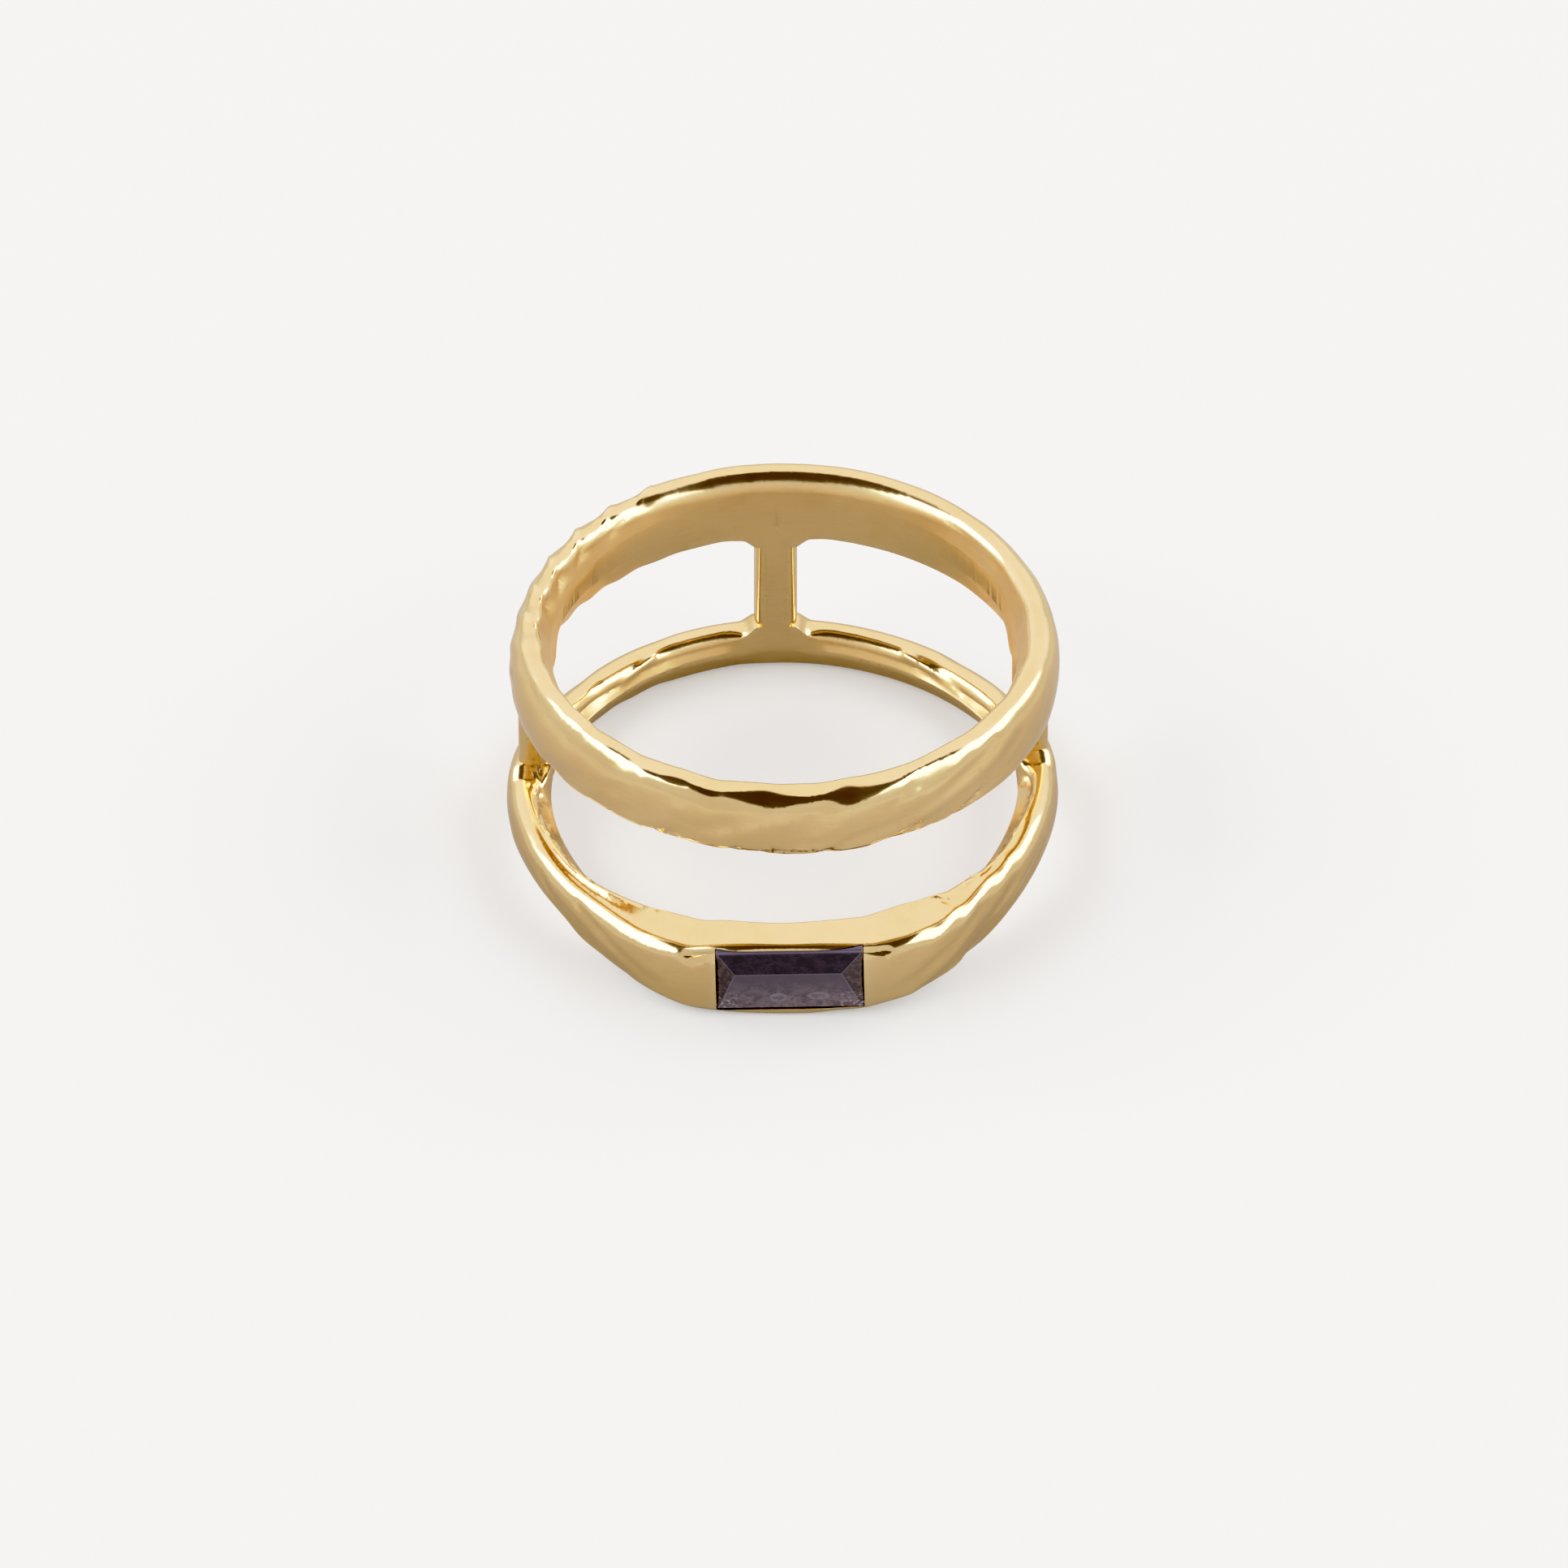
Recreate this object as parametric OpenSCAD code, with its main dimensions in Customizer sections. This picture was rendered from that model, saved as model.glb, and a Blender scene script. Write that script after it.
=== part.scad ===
// Double ring: two fluted gold bands joined by three bars, with a step-cut baguette stone
// set in the front of the lower band. It lies on its lower rim, leaning back a little,
// because that rim is deeper at the stone than at the back.

/* [Finger hole] */
// Radius of the finger hole, at the middle of each band
bore_r = 8.65; // [7.5:0.05:10.5]
// How far the inner wall flares out from the finger hole to the rims
flare = 0.35; // [0.2:0.05:0.45]

/* [Bands] */
// Thickness of the bands from the finger hole to the outside
band_wall = 1.5; // [1.3:0.05:2]
// Height of the upper band
upper_h = 2.8; // [2.4:0.05:3.4]
// Height of the lower band at the stone
front_top = 3.25; // [3.2:0.05:3.6]
// Height of the whole ring, from the stone's rim to the top of the upper band
ring_h = 10.35; // [9.6:0.05:12]
// Strength of the flutes, where 1 is as worn on the ring
flute_strength = 1; // [0:0.1:1.5]

/* [Bars] */
// Width of each bar, along the bands
bar_w = 1.7; // [1:0.1:2.4]
// Depth of each bar, from the finger hole outwards
bar_depth = 1.25; // [0.8:0.05:1.3]
// Place of the left bar, in degrees from the front
bar_left = -97; // [-120:1:-80]
// Place of the right bar, in degrees from the front
bar_right = 101; // [80:1:120]
// Place of the back bar, in degrees from the front
bar_back = 182; // [170:1:190]

/* [Stone] */
// Width of the stone along the band
stone_w = 5.4; // [4:0.1:6.4]
// Height of the stone
stone_h = 2.7; // [2:0.05:2.8]
// Depth of the stone, from its table to its keel
stone_depth = 1.05; // [0.8:0.05:1.15]
// Gap between the stone and its seat
stone_gap = 0.03; // [0.02:0.01:0.06]

/* [Hidden] */

sections = 132;
upper_bottom = ring_h - upper_h;
outer_r = bore_r + band_wall;
crease_r = bore_r + flare;

// The front of the lower band is flattened for the stone
front_flat = outer_r - 0.1;
stone_proud = 0.03;
stone_shift = 0.2;
stone_lift = 0.34;
stone_roll = 1.2;
crown_bevel = 0.12;
girdle = 0.25;
pavilion_step = 0.35;
pavilion_share = 0.4;
keel_half_h = 0.02;

// Stations of a section, each with the direction it faces, where 0 is outwards and 90 is up or
// down, and how far up the section it lies. Above 90 they belong to the soft inner edge, which
// ends in the crease at 180.
BOTTOM_STATIONS = [[180, 0.05], [135, 0.01], [90, 0], [45, 0.04], [6, 0.12]];
FACE_STATIONS = [0.3, 0.48, 0.66];
TOP_STATIONS = [[4, 0.82], [28, 0.90], [55, 0.97], [90, 1], [138, 0.99], [180, 0.92]];
lowest_station = 3;
highest_station = len(BOTTOM_STATIONS) + len(FACE_STATIONS) + 4;
stations = len(BOTTOM_STATIONS) + len(FACE_STATIONS) + len(TOP_STATIONS) + 2;
sag_share = 0.84;
bottom_sag = 0.15;
bottom_corner = 0.7;
face_bulge = 0.03;
root = 0.05;

// The upper band round the ring
UPPER_BAND = [
    // angle from the front, bottom, top, outer radius, crease radius, corner radius,
    // softness of the inner edge, rise of the top towards the inner edge
    [-180, upper_bottom - 0.15, ring_h,        outer_r - 0.13, crease_r - 0.12, 0.75, 0.50, 0],
    [-130, upper_bottom - 0.22, ring_h,        outer_r - 0.15, crease_r - 0.12, 0.75, 0.50, 0],
    [-110, upper_bottom - 0.08, ring_h,        outer_r - 0.08, crease_r - 0.12, 0.75, 0.50, 0],
    [ -90, upper_bottom + 0.02, ring_h,        outer_r + 0.03, crease_r - 0.12, 0.75, 0.50, 0],
    [ -60, upper_bottom,        ring_h,        outer_r + 0.02, crease_r - 0.12, 0.80, 0.50, 0],
    [   0, upper_bottom,        ring_h - 0.03, outer_r,        crease_r - 0.12, 0.80, 0.50, 0],
    [  60, upper_bottom,        ring_h,        outer_r + 0.02, crease_r - 0.12, 0.80, 0.50, 0],
    [  90, upper_bottom + 0.08, ring_h,        outer_r + 0.03, crease_r - 0.12, 0.75, 0.50, 0],
    [ 110, upper_bottom,        ring_h,        outer_r - 0.08, crease_r - 0.12, 0.75, 0.50, 0],
    [ 130, upper_bottom - 0.10, ring_h,        outer_r - 0.17, crease_r - 0.12, 0.75, 0.50, 0],
    [ 180, upper_bottom - 0.15, ring_h,        outer_r - 0.13, crease_r - 0.12, 0.75, 0.50, 0],
];

// The lower band is deep and square at the stone and thin and round at the back
back_rise = 1.5;
LOWER_BAND = [
    // angle from the front, bottom, top, outer radius, crease radius, corner radius,
    // softness of the inner edge, rise of the top towards the inner edge
    [-180, back_rise, 3.15, outer_r - 0.20, crease_r - 0.20, 0.55, 0.50, 0.00],
    [-150, back_rise - 0.02, 3.08, outer_r - 0.15, crease_r - 0.20, 0.55, 0.50, 0.00],
    [-130, back_rise - 0.10, 2.95, outer_r - 0.10, crease_r - 0.15, 0.55, 0.50, 0.00],
    [-110, back_rise - 0.10, 2.98, outer_r, crease_r, 0.55, 0.50, 0.00],
    [ -90, 1.50, 3.22, outer_r + 0.15, crease_r + 0.15, 0.55, 0.45, 0.00],
    [ -70, 1.52, 3.15, outer_r + 0.10, crease_r + 0.10, 0.55, 0.40, 0.03],
    [ -58, 1.30, 2.95, outer_r + 0.08, crease_r + 0.05, 0.50, 0.35, 0.06],
    [ -48, 0.82, front_top - 0.40, outer_r + 0.05, crease_r - 0.05, 0.45, 0.30, 0.12],
    [ -42, 0.72, front_top - 0.45, outer_r + 0.10, crease_r - 0.15, 0.40, 0.25, 0.20],
    [ -36, 0.58, front_top - 0.49, outer_r + 0.22, crease_r - 0.22, 0.35, 0.18, 0.28],
    [ -30, 0.46, front_top - 0.47, outer_r + 0.38, crease_r - 0.28, 0.30, 0.14, 0.30],
    [ -25, 0.33, front_top - 0.41, outer_r + 0.44, crease_r - 0.30, 0.26, 0.12, 0.25],
    [ -20, 0.20, front_top - 0.35, outer_r + 0.42, crease_r - 0.30, 0.24, 0.12, 0.20],
    [ -14, 0.12, front_top - 0.10, front_flat / cos(14), crease_r - 0.30, 0.22, 0.12, 0.14],
    [  -7, 0.03, front_top - 0.01, front_flat / cos(7), crease_r - 0.30, 0.20, 0.12, 0.12],
    [   0, 0.00, front_top, front_flat, crease_r - 0.30, 0.20, 0.12, 0.12],
    [   7, 0.03, front_top + 0.01, front_flat / cos(7), crease_r - 0.30, 0.20, 0.12, 0.14],
    [  14, 0.12, front_top - 0.07, front_flat / cos(14), crease_r - 0.30, 0.22, 0.12, 0.20],
    [  20, 0.24, front_top - 0.23, outer_r + 0.46, crease_r - 0.30, 0.24, 0.12, 0.30],
    [  25, 0.44, front_top - 0.20, outer_r + 0.60, crease_r - 0.30, 0.26, 0.12, 0.32],
    [  30, 0.58, front_top - 0.10, outer_r + 0.60, crease_r - 0.28, 0.30, 0.14, 0.25],
    [  36, 0.72, front_top - 0.05, outer_r + 0.48, crease_r - 0.22, 0.35, 0.18, 0.15],
    [  42, 0.85, front_top - 0.01, outer_r + 0.26, crease_r - 0.15, 0.40, 0.25, 0.08],
    [  48, 0.92, front_top + 0.07, outer_r + 0.08, crease_r - 0.05, 0.45, 0.30, 0.04],
    [  60, 1.42, 3.50, outer_r + 0.03, crease_r + 0.05, 0.50, 0.40, 0.00],
    [  75, 1.88, 3.65, outer_r + 0.02, crease_r + 0.15, 0.55, 0.45, 0.00],
    [  95, 1.80, 3.40, outer_r, crease_r + 0.10, 0.55, 0.50, 0.00],
    [ 120, 1.55, 3.02, outer_r - 0.08, crease_r - 0.10, 0.55, 0.50, 0.00],
    [ 150, back_rise, 3.02, outer_r - 0.15, crease_r - 0.20, 0.55, 0.50, 0.00],
    [ 180, back_rise, 3.15, outer_r - 0.20, crease_r - 0.20, 0.55, 0.50, 0.00],
];

// Half the height of the inner wall that is straight, as a part of the band's height
UPPER_LAND = 0.15;
LOWER_LAND = 0.05;

// The flutes run up to the right round each band. Each starts at this angle at the top rim,
// and its bottom end lies flute_arc degrees to the left. It has one sharp side and fades out
// over the arc in the last column, to the right or, where that is negative, to the left.
flute_arc = 22;
flute_edge = 2.5;
flute_taper = 1.4;
inner_share = 0.7;
bottom_step = 0.15;
UPPER_FLUTES = [
    // angle at the top rim, depth at the rims, depth on the face, step of the inner crease, fading arc
    [-161, 0.06, 0.02, 0.08, 12],
    [-144, 0.08, 0.03, 0.22, 10],
    [-132, 0.08, 0.02, 0.10, 8],
    [-123, 0.10, 0.03, 0.28, 9],
    [-112, 0.10, 0.03, 0.28, 9],
    [-101, 0.10, 0.03, 0.28, 9],
    [ -91, 0.10, 0.03, 0.24, 9],
    [ -77, 0.07, 0.02, 0.10, 10],
    [ -62, 0.06, 0.02, 0.04, -12],
    [ -48, 0.05, 0.03, 0.05, -12],
    [ -35, 0.06, 0.04, 0.06, -12],
    [ -19, 0.06, 0.05, 0.06, -12],
    [   0, 0.04, 0.05, 0.04, -14],
    [  12, 0.05, 0.06, 0.04, 16],
    [  31, 0.05, 0.06, 0.03, 14],
    [  47, 0.04, 0.05, 0.03, 14],
    [  63, 0.04, 0.05, 0.04, 14],
    [  80, 0.04, 0.03, 0.05, 14],
    [  98, 0.04, 0.02, 0.06, 14],
    [ 116, 0.05, 0.02, 0.06, 14],
    [ 134, 0.05, 0.02, 0.06, 14],
    [ 152, 0.04, 0.02, 0.05, 14],
    [ 172, 0.04, 0.02, 0.04, 14],
];
LOWER_FLUTES = [
    // angle at the top rim, depth at the rims, depth on the face, step of the inner crease, fading arc
    [-150, 0.06, 0.02, 0.05, 12],
    [-128, 0.09, 0.03, 0.12, 10],
    [-116, 0.09, 0.02, 0.12, 8],
    [ -66, 0.05, 0.02, 0.06, -14],
    [ -33, 0.08, 0.04, 0.05, -12],
    [  32, 0.09, 0.05, 0.14, 9],
    [  41, 0.12, 0.06, 0.18, 9],
    [  53, 0.09, 0.05, 0.14, 8],
    [  61, 0.10, 0.04, 0.12, 10],
    [ 124, 0.08, 0.03, 0.08, -10],
    [ 142, 0.08, 0.03, 0.08, -12],
];

function row_before(table, angle, i = 0) =
    i >= len(table) - 2 || angle < table[i + 1][0] ? i : row_before(table, angle, i + 1);

// Slope of a column at one row of a table that closes on itself after a full turn
function slope(table, i, column) =
    let (last = len(table) - 1)
    let (low = i == 0 ? last - 1 : i - 1)
    let (high = i == last ? 1 : i + 1)
    let (run = (i == 0 ? table[last][0] - table[low][0] : table[i][0] - table[low][0])
        + (i == last ? table[high][0] - table[0][0] : table[high][0] - table[i][0]))
    (table[high][column] - table[low][column]) / run;

// Smooth curve through a column of a table, read at an angle
function read(table, angle, column) =
    let (i = row_before(table, angle))
    let (run = table[i + 1][0] - table[i][0])
    let (t = (angle - table[i][0]) / run)
    let (start = table[i][column], end = table[i + 1][column])
    let (rise0 = slope(table, i, column) * run, rise1 = slope(table, i + 1, column) * run)
    start * (2 * t * t * t - 3 * t * t + 1) + rise0 * (t * t * t - 2 * t * t + t)
        + end * (3 * t * t - 2 * t * t * t) + rise1 * (t * t * t - t * t);

function wrap(angle) = angle > 180 ? angle - 360 : angle < -180 ? angle + 360 : angle;

// How deep a flute is, from 0 to 1, at an angle measured from its sharp side
function fade(off, arc) =
    let (side = off * sign(arc))
    side < 0 ? max(0, 1 + side / flute_edge) : pow(max(0, 1 - side / abs(arc)), flute_taper);
function flutes_at(flutes, column, angle) =
    flute_strength * max([for (f = flutes) f[column] * fade(wrap(angle - f[0]), f[4])]);

// Radius and height of one station. The angle is where its column meets the top rim; the
// column leans, so lower stations lie further to the left.
function station_angle(angle, rise) = wrap(angle - flute_arc * (1 - rise));
function station(table, flutes, land_part, angle, a, rise, side) =
    let (here = station_angle(angle, rise))
    let (bottom = read(table, here, 1), top = read(table, here, 2))
    let (outer = read(table, here, 3))
    let (step = flutes_at(flutes, 3, angle) * (side > 0 ? 1 : bottom_step))
    let (crease = read(table, here, 4) + step)
    let (corner = read(table, here, 5) * (side > 0 ? 1 : bottom_corner))
    let (rim = pow(abs(2 * rise - 1), 2))
    let (cut = rim * flutes_at(flutes, 1, angle) + (1 - rim) * flutes_at(flutes, 2, angle))
    let (soft = read(table, here, 6), inner_rise = side > 0 ? read(table, here, 7) : 0)
    let (sag = side > 0 ? soft * sag_share : bottom_sag)
    let (edge = side > 0 ? top : bottom)
    let (spot = a < 0 ? [bore_r - root, (bottom + top) / 2 + side * land_part * (top - bottom)]
        : a > 90 ? [crease + soft * (1 + cos(a)),
            edge + inner_rise - side * (sag * (1 - sin(a)) + cut * inner_share)]
        : side == 0 ? [outer + face_bulge * sin(180 * rise) - cut, bottom + rise * (top - bottom)]
        : [outer - corner * (1 - cos(a)) - cut * cos(a),
            edge - side * (corner * (1 - sin(a)) + cut * sin(a))])
    [spot[0] * sin(here), -spot[0] * cos(here), spot[1]];

function band_points(table, flutes, land_part) =
    [for (i = [0:sections - 1])
        let (angle = i * 360 / sections - 180)
        each concat(
            [station(table, flutes, land_part, angle, -1, 0.35, -1)],
            [for (s = BOTTOM_STATIONS) station(table, flutes, land_part, angle, s[0], s[1], -1)],
            [for (rise = FACE_STATIONS) station(table, flutes, land_part, angle, 0, rise, 0)],
            [for (s = TOP_STATIONS) station(table, flutes, land_part, angle, s[0], s[1], 1)],
            [station(table, flutes, land_part, angle, -1, 0.65, 1)])];

module band(table, flutes, land_part) {
    polyhedron(
        points = band_points(table, flutes, land_part),
        faces = [for (i = [0:sections - 1]) for (j = [0:stations - 1])
            let (next = (i + 1) % sections, up = (j + 1) % stations)
            let (a = i * stations + j, b = i * stations + up)
            let (c = next * stations + up, d = next * stations + j)
            let (outside = j >= lowest_station && j < highest_station)
            each outside ? [[a, b, d], [b, c, d]] : [[a, b, c], [a, c, d]]],
        convexity = 6);
}

// One bar, rooted in both bands, with its long edges broken and its ends spread into fillets
bar_edge = 0.22;
bar_fillet = 0.3;
foot_sink = 0.05;
foot_root = 0.4;
head_sink = 0.1;
head_root = 0.6;
module bar(angle) {
    inner = bore_r - root;
    outer = bore_r + bar_depth;
    wide = bar_w / 2 + bar_fillet;
    narrow = bar_w / 2 - bar_edge;
    foot = read(LOWER_BAND, wrap(angle), 2) - foot_sink;
    head = read(UPPER_BAND, wrap(angle), 1) + head_sink;
    right = concat(
        [[wide, foot - foot_root]],
        [for (a = [0:15:90]) [bar_w / 2 + bar_fillet * (1 - sin(a)), foot + bar_fillet * (1 - cos(a))]],
        [for (a = [0:15:90]) [bar_w / 2 + bar_fillet * (1 - cos(a)), head - bar_fillet * (1 - sin(a))]],
        [[wide, head + head_root]]);
    left = [for (i = [len(right) - 1:-1:0]) [-right[i][0], right[i][1]]];
    rotate([0, 0, angle - 90]) intersection() {
        translate([inner, 0, 0]) rotate([90, 0, 90])
            linear_extrude(bar_depth + root) polygon(concat(right, left));
        linear_extrude(ring_h)
            polygon([
                [inner, -narrow], [inner + bar_edge + bar_fillet, -wide],
                [outer - bar_edge - bar_fillet, -wide], [outer, -narrow],
                [outer, narrow], [outer - bar_edge - bar_fillet, wide],
                [inner + bar_edge + bar_fillet, wide], [inner, narrow]]);
    }
}

// Places a thing made at the stone's centre, with its front at y = 0 and its back towards +y
module at_stone() {
    translate([stone_shift, -front_flat - stone_proud, stone_lift + stone_h / 2])
        rotate([0, -stone_roll, 0])
            children();
}

// The stone's outline seen along one edge: table, crown bevel, girdle, pavilion and keel.
// Grown by a gap and left open at the front, it is the outline of the seat.
module cut_outline(half, keel_half, gap = 0) {
    bevel = gap > 0 ? 0 : crown_bevel;
    front = gap > 0 ? -1 : 0;
    wide = half + gap;
    back = stone_depth + gap;
    waist = crown_bevel + girdle;
    step_in = (half - keel_half) * pavilion_share;
    polygon([
        [-wide + bevel, front], [wide - bevel, front], [wide, front + bevel], [wide, waist],
        [wide - step_in, waist + pavilion_step], [keel_half + gap, back],
        [-keel_half - gap, back], [-wide + step_in, waist + pavilion_step],
        [-wide, waist], [-wide, front + bevel]]);
}

module baguette(gap = 0) {
    intersection() {
        translate([0, 0, -stone_h])
            linear_extrude(2 * stone_h) cut_outline(stone_w / 2, stone_w / 2 - stone_h / 2, gap);
        translate([-stone_w, 0, 0])
            rotate([90, 0, 90])
                linear_extrude(2 * stone_w)
                    mirror([1, 0]) rotate(90) cut_outline(stone_h / 2, keel_half_h, gap);
    }
}

// Lays the ring on the rim of its lower band, leaning back, with the middle of its box at the
// origin. The rim touches the table at the stone and at the back, this much less than the
// outside of the band apart.
rest_inset = 1.2;
rest_lean = atan(back_rise / (2 * outer_r - rest_inset));
function lay_down(p) = [
    p[0], p[1] * cos(rest_lean) + p[2] * sin(rest_lean), p[2] * cos(rest_lean) - p[1] * sin(rest_lean)];
stone_front = [stone_shift, -front_flat - stone_proud, stone_lift];
laid_points = [for (p = concat([stone_front], band_points(LOWER_BAND, LOWER_FLUTES, LOWER_LAND),
    band_points(UPPER_BAND, UPPER_FLUTES, UPPER_LAND))) lay_down(p)];
function lowest(axis) = min([for (p = laid_points) p[axis]]);
function highest(axis) = max([for (p = laid_points) p[axis]]);
module laid_down() {
    translate([-(lowest(0) + highest(0)) / 2, -(lowest(1) + highest(1)) / 2, -lowest(2)])
        rotate([-rest_lean, 0, 0])
            children();
}

module ring_body() {
    color("goldenrod") laid_down() difference() {
        union() {
            band(UPPER_BAND, UPPER_FLUTES, UPPER_LAND);
            band(LOWER_BAND, LOWER_FLUTES, LOWER_LAND);
            for (angle = [bar_left, bar_right, bar_back]) bar(angle);
        }
        translate([0, 0, -1]) cylinder(r = bore_r, h = ring_h + 2, $fn = 96);
        at_stone() baguette(stone_gap);
    }
}

module stone() {
    color("indigo") laid_down() at_stone() baguette();
}

ring_body();
stone();
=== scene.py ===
"""Looks of a gold double ring with a violet baguette stone."""

import math

import bpy
import numpy as np
from mathutils import Matrix, Vector


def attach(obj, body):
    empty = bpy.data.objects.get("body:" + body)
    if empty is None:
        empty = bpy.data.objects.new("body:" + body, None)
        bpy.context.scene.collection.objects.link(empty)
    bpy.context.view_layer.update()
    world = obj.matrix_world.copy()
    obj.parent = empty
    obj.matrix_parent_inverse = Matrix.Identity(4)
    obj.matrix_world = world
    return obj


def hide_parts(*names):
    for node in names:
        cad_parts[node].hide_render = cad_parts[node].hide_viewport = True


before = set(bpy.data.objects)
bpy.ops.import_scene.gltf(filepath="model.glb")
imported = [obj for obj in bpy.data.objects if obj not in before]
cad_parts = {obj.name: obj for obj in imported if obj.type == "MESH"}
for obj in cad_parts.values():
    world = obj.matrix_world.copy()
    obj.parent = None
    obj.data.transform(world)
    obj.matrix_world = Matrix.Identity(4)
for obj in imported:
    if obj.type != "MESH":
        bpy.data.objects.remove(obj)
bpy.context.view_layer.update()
MM = 0.001

# Sizes of the ring in millimetres, in its own frame, where z runs along the finger hole.
# Angles are in degrees from the front, and grow to the right.
BORE_R = 8.65
OUTER_R = 10.15
CREASE_R = 9.0
RING_H = 10.35
UPPER_BOTTOM = 7.55
FRONT_FLAT = 10.05

# The ring lies on the table on the lower band's rim, and leans back
LEAN = math.radians(4.49045)
LAID_AT = Vector((0.0621166, -0.36208, -0.7277))
LAID = Matrix.Translation(LAID_AT) @ Matrix.Rotation(-LEAN, 4, "X")

# Sections round each band
SECTIONS = 600
SECTION_ANGLES = np.arange(SECTIONS) * 360.0 / SECTIONS - 180.0


def named_rows(columns, rows):
    """A table whose columns are read by name."""
    return np.array(rows, dtype=[(name, float) for name in columns])


# Round each band: heights of its bottom and top, radii of its outer face and of the crease where
# its top meets the finger hole, the roll of that edge, and how far the top rises inwards
BAND_COLUMNS = ("angle", "bottom", "top", "outer", "crease", "inner soft", "inner rise")
UPPER_BAND = named_rows(BAND_COLUMNS, [
    (-180, UPPER_BOTTOM + 0.04, RING_H + 0.14, OUTER_R - 0.13, CREASE_R - 0.34, 0.80, 0),
    (-160, UPPER_BOTTOM + 0.00, RING_H + 0.14, OUTER_R - 0.14, CREASE_R - 0.34, 0.78, 0),
    (-146, UPPER_BOTTOM - 0.08, RING_H + 0.13, OUTER_R - 0.15, CREASE_R - 0.30, 0.68, 0),
    (-130, UPPER_BOTTOM - 0.16, RING_H + 0.09, OUTER_R - 0.14, CREASE_R - 0.24, 0.58, 0),
    (-110, UPPER_BOTTOM - 0.08, RING_H + 0.02, OUTER_R - 0.06, CREASE_R - 0.18, 0.52, 0),
    (-90, UPPER_BOTTOM + 0.02, RING_H, OUTER_R + 0.05, CREASE_R - 0.16, 0.50, 0),
    (-60, UPPER_BOTTOM, RING_H, OUTER_R + 0.02, CREASE_R - 0.12, 0.50, 0),
    (-40, UPPER_BOTTOM - 0.02, RING_H - 0.04, OUTER_R + 0.01, CREASE_R - 0.16, 0.44, 0),
    (-30, UPPER_BOTTOM - 0.03, RING_H - 0.16, OUTER_R, CREASE_R - 0.19, 0.34, 0),
    (-24, UPPER_BOTTOM - 0.03, RING_H - 0.13, OUTER_R, CREASE_R - 0.20, 0.30, 0),
    (-20, UPPER_BOTTOM - 0.04, RING_H - 0.18, OUTER_R, CREASE_R - 0.20, 0.28, 0),
    (-16, UPPER_BOTTOM - 0.06, RING_H - 0.33, OUTER_R, CREASE_R - 0.20, 0.26, 0),
    (-12, UPPER_BOTTOM - 0.07, RING_H - 0.28, OUTER_R, CREASE_R - 0.20, 0.25, 0),
    (-7, UPPER_BOTTOM - 0.08, RING_H - 0.22, OUTER_R + 0.02, CREASE_R - 0.20, 0.25, 0),
    (-1, UPPER_BOTTOM - 0.12, RING_H - 0.22, OUTER_R + 0.04, CREASE_R - 0.20, 0.25, 0),
    (4, UPPER_BOTTOM - 0.12, RING_H - 0.27, OUTER_R + 0.04, CREASE_R - 0.20, 0.25, 0),
    (8, UPPER_BOTTOM - 0.12, RING_H - 0.29, OUTER_R + 0.05, CREASE_R - 0.20, 0.25, 0),
    (14, UPPER_BOTTOM - 0.10, RING_H - 0.15, OUTER_R + 0.14, CREASE_R - 0.20, 0.25, 0),
    (20, UPPER_BOTTOM - 0.08, RING_H - 0.21, OUTER_R + 0.08, CREASE_R - 0.20, 0.28, 0),
    (26, UPPER_BOTTOM - 0.07, RING_H - 0.20, OUTER_R + 0.02, CREASE_R - 0.18, 0.33, 0),
    (32, UPPER_BOTTOM - 0.06, RING_H - 0.11, OUTER_R, CREASE_R - 0.16, 0.38, 0),
    (60, UPPER_BOTTOM, RING_H, OUTER_R + 0.02, CREASE_R - 0.12, 0.50, 0),
    (90, UPPER_BOTTOM + 0.08, RING_H, OUTER_R + 0.03, CREASE_R - 0.14, 0.52, 0),
    (110, UPPER_BOTTOM + 0.03, RING_H + 0.02, OUTER_R - 0.08, CREASE_R - 0.18, 0.52, 0),
    (130, UPPER_BOTTOM + 0.02, RING_H + 0.10, OUTER_R - 0.16, CREASE_R - 0.24, 0.56, 0),
    (155, UPPER_BOTTOM + 0.03, RING_H + 0.14, OUTER_R - 0.15, CREASE_R - 0.34, 0.76, 0),
    (180, UPPER_BOTTOM + 0.04, RING_H + 0.14, OUTER_R - 0.13, CREASE_R - 0.34, 0.80, 0),
])
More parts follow.
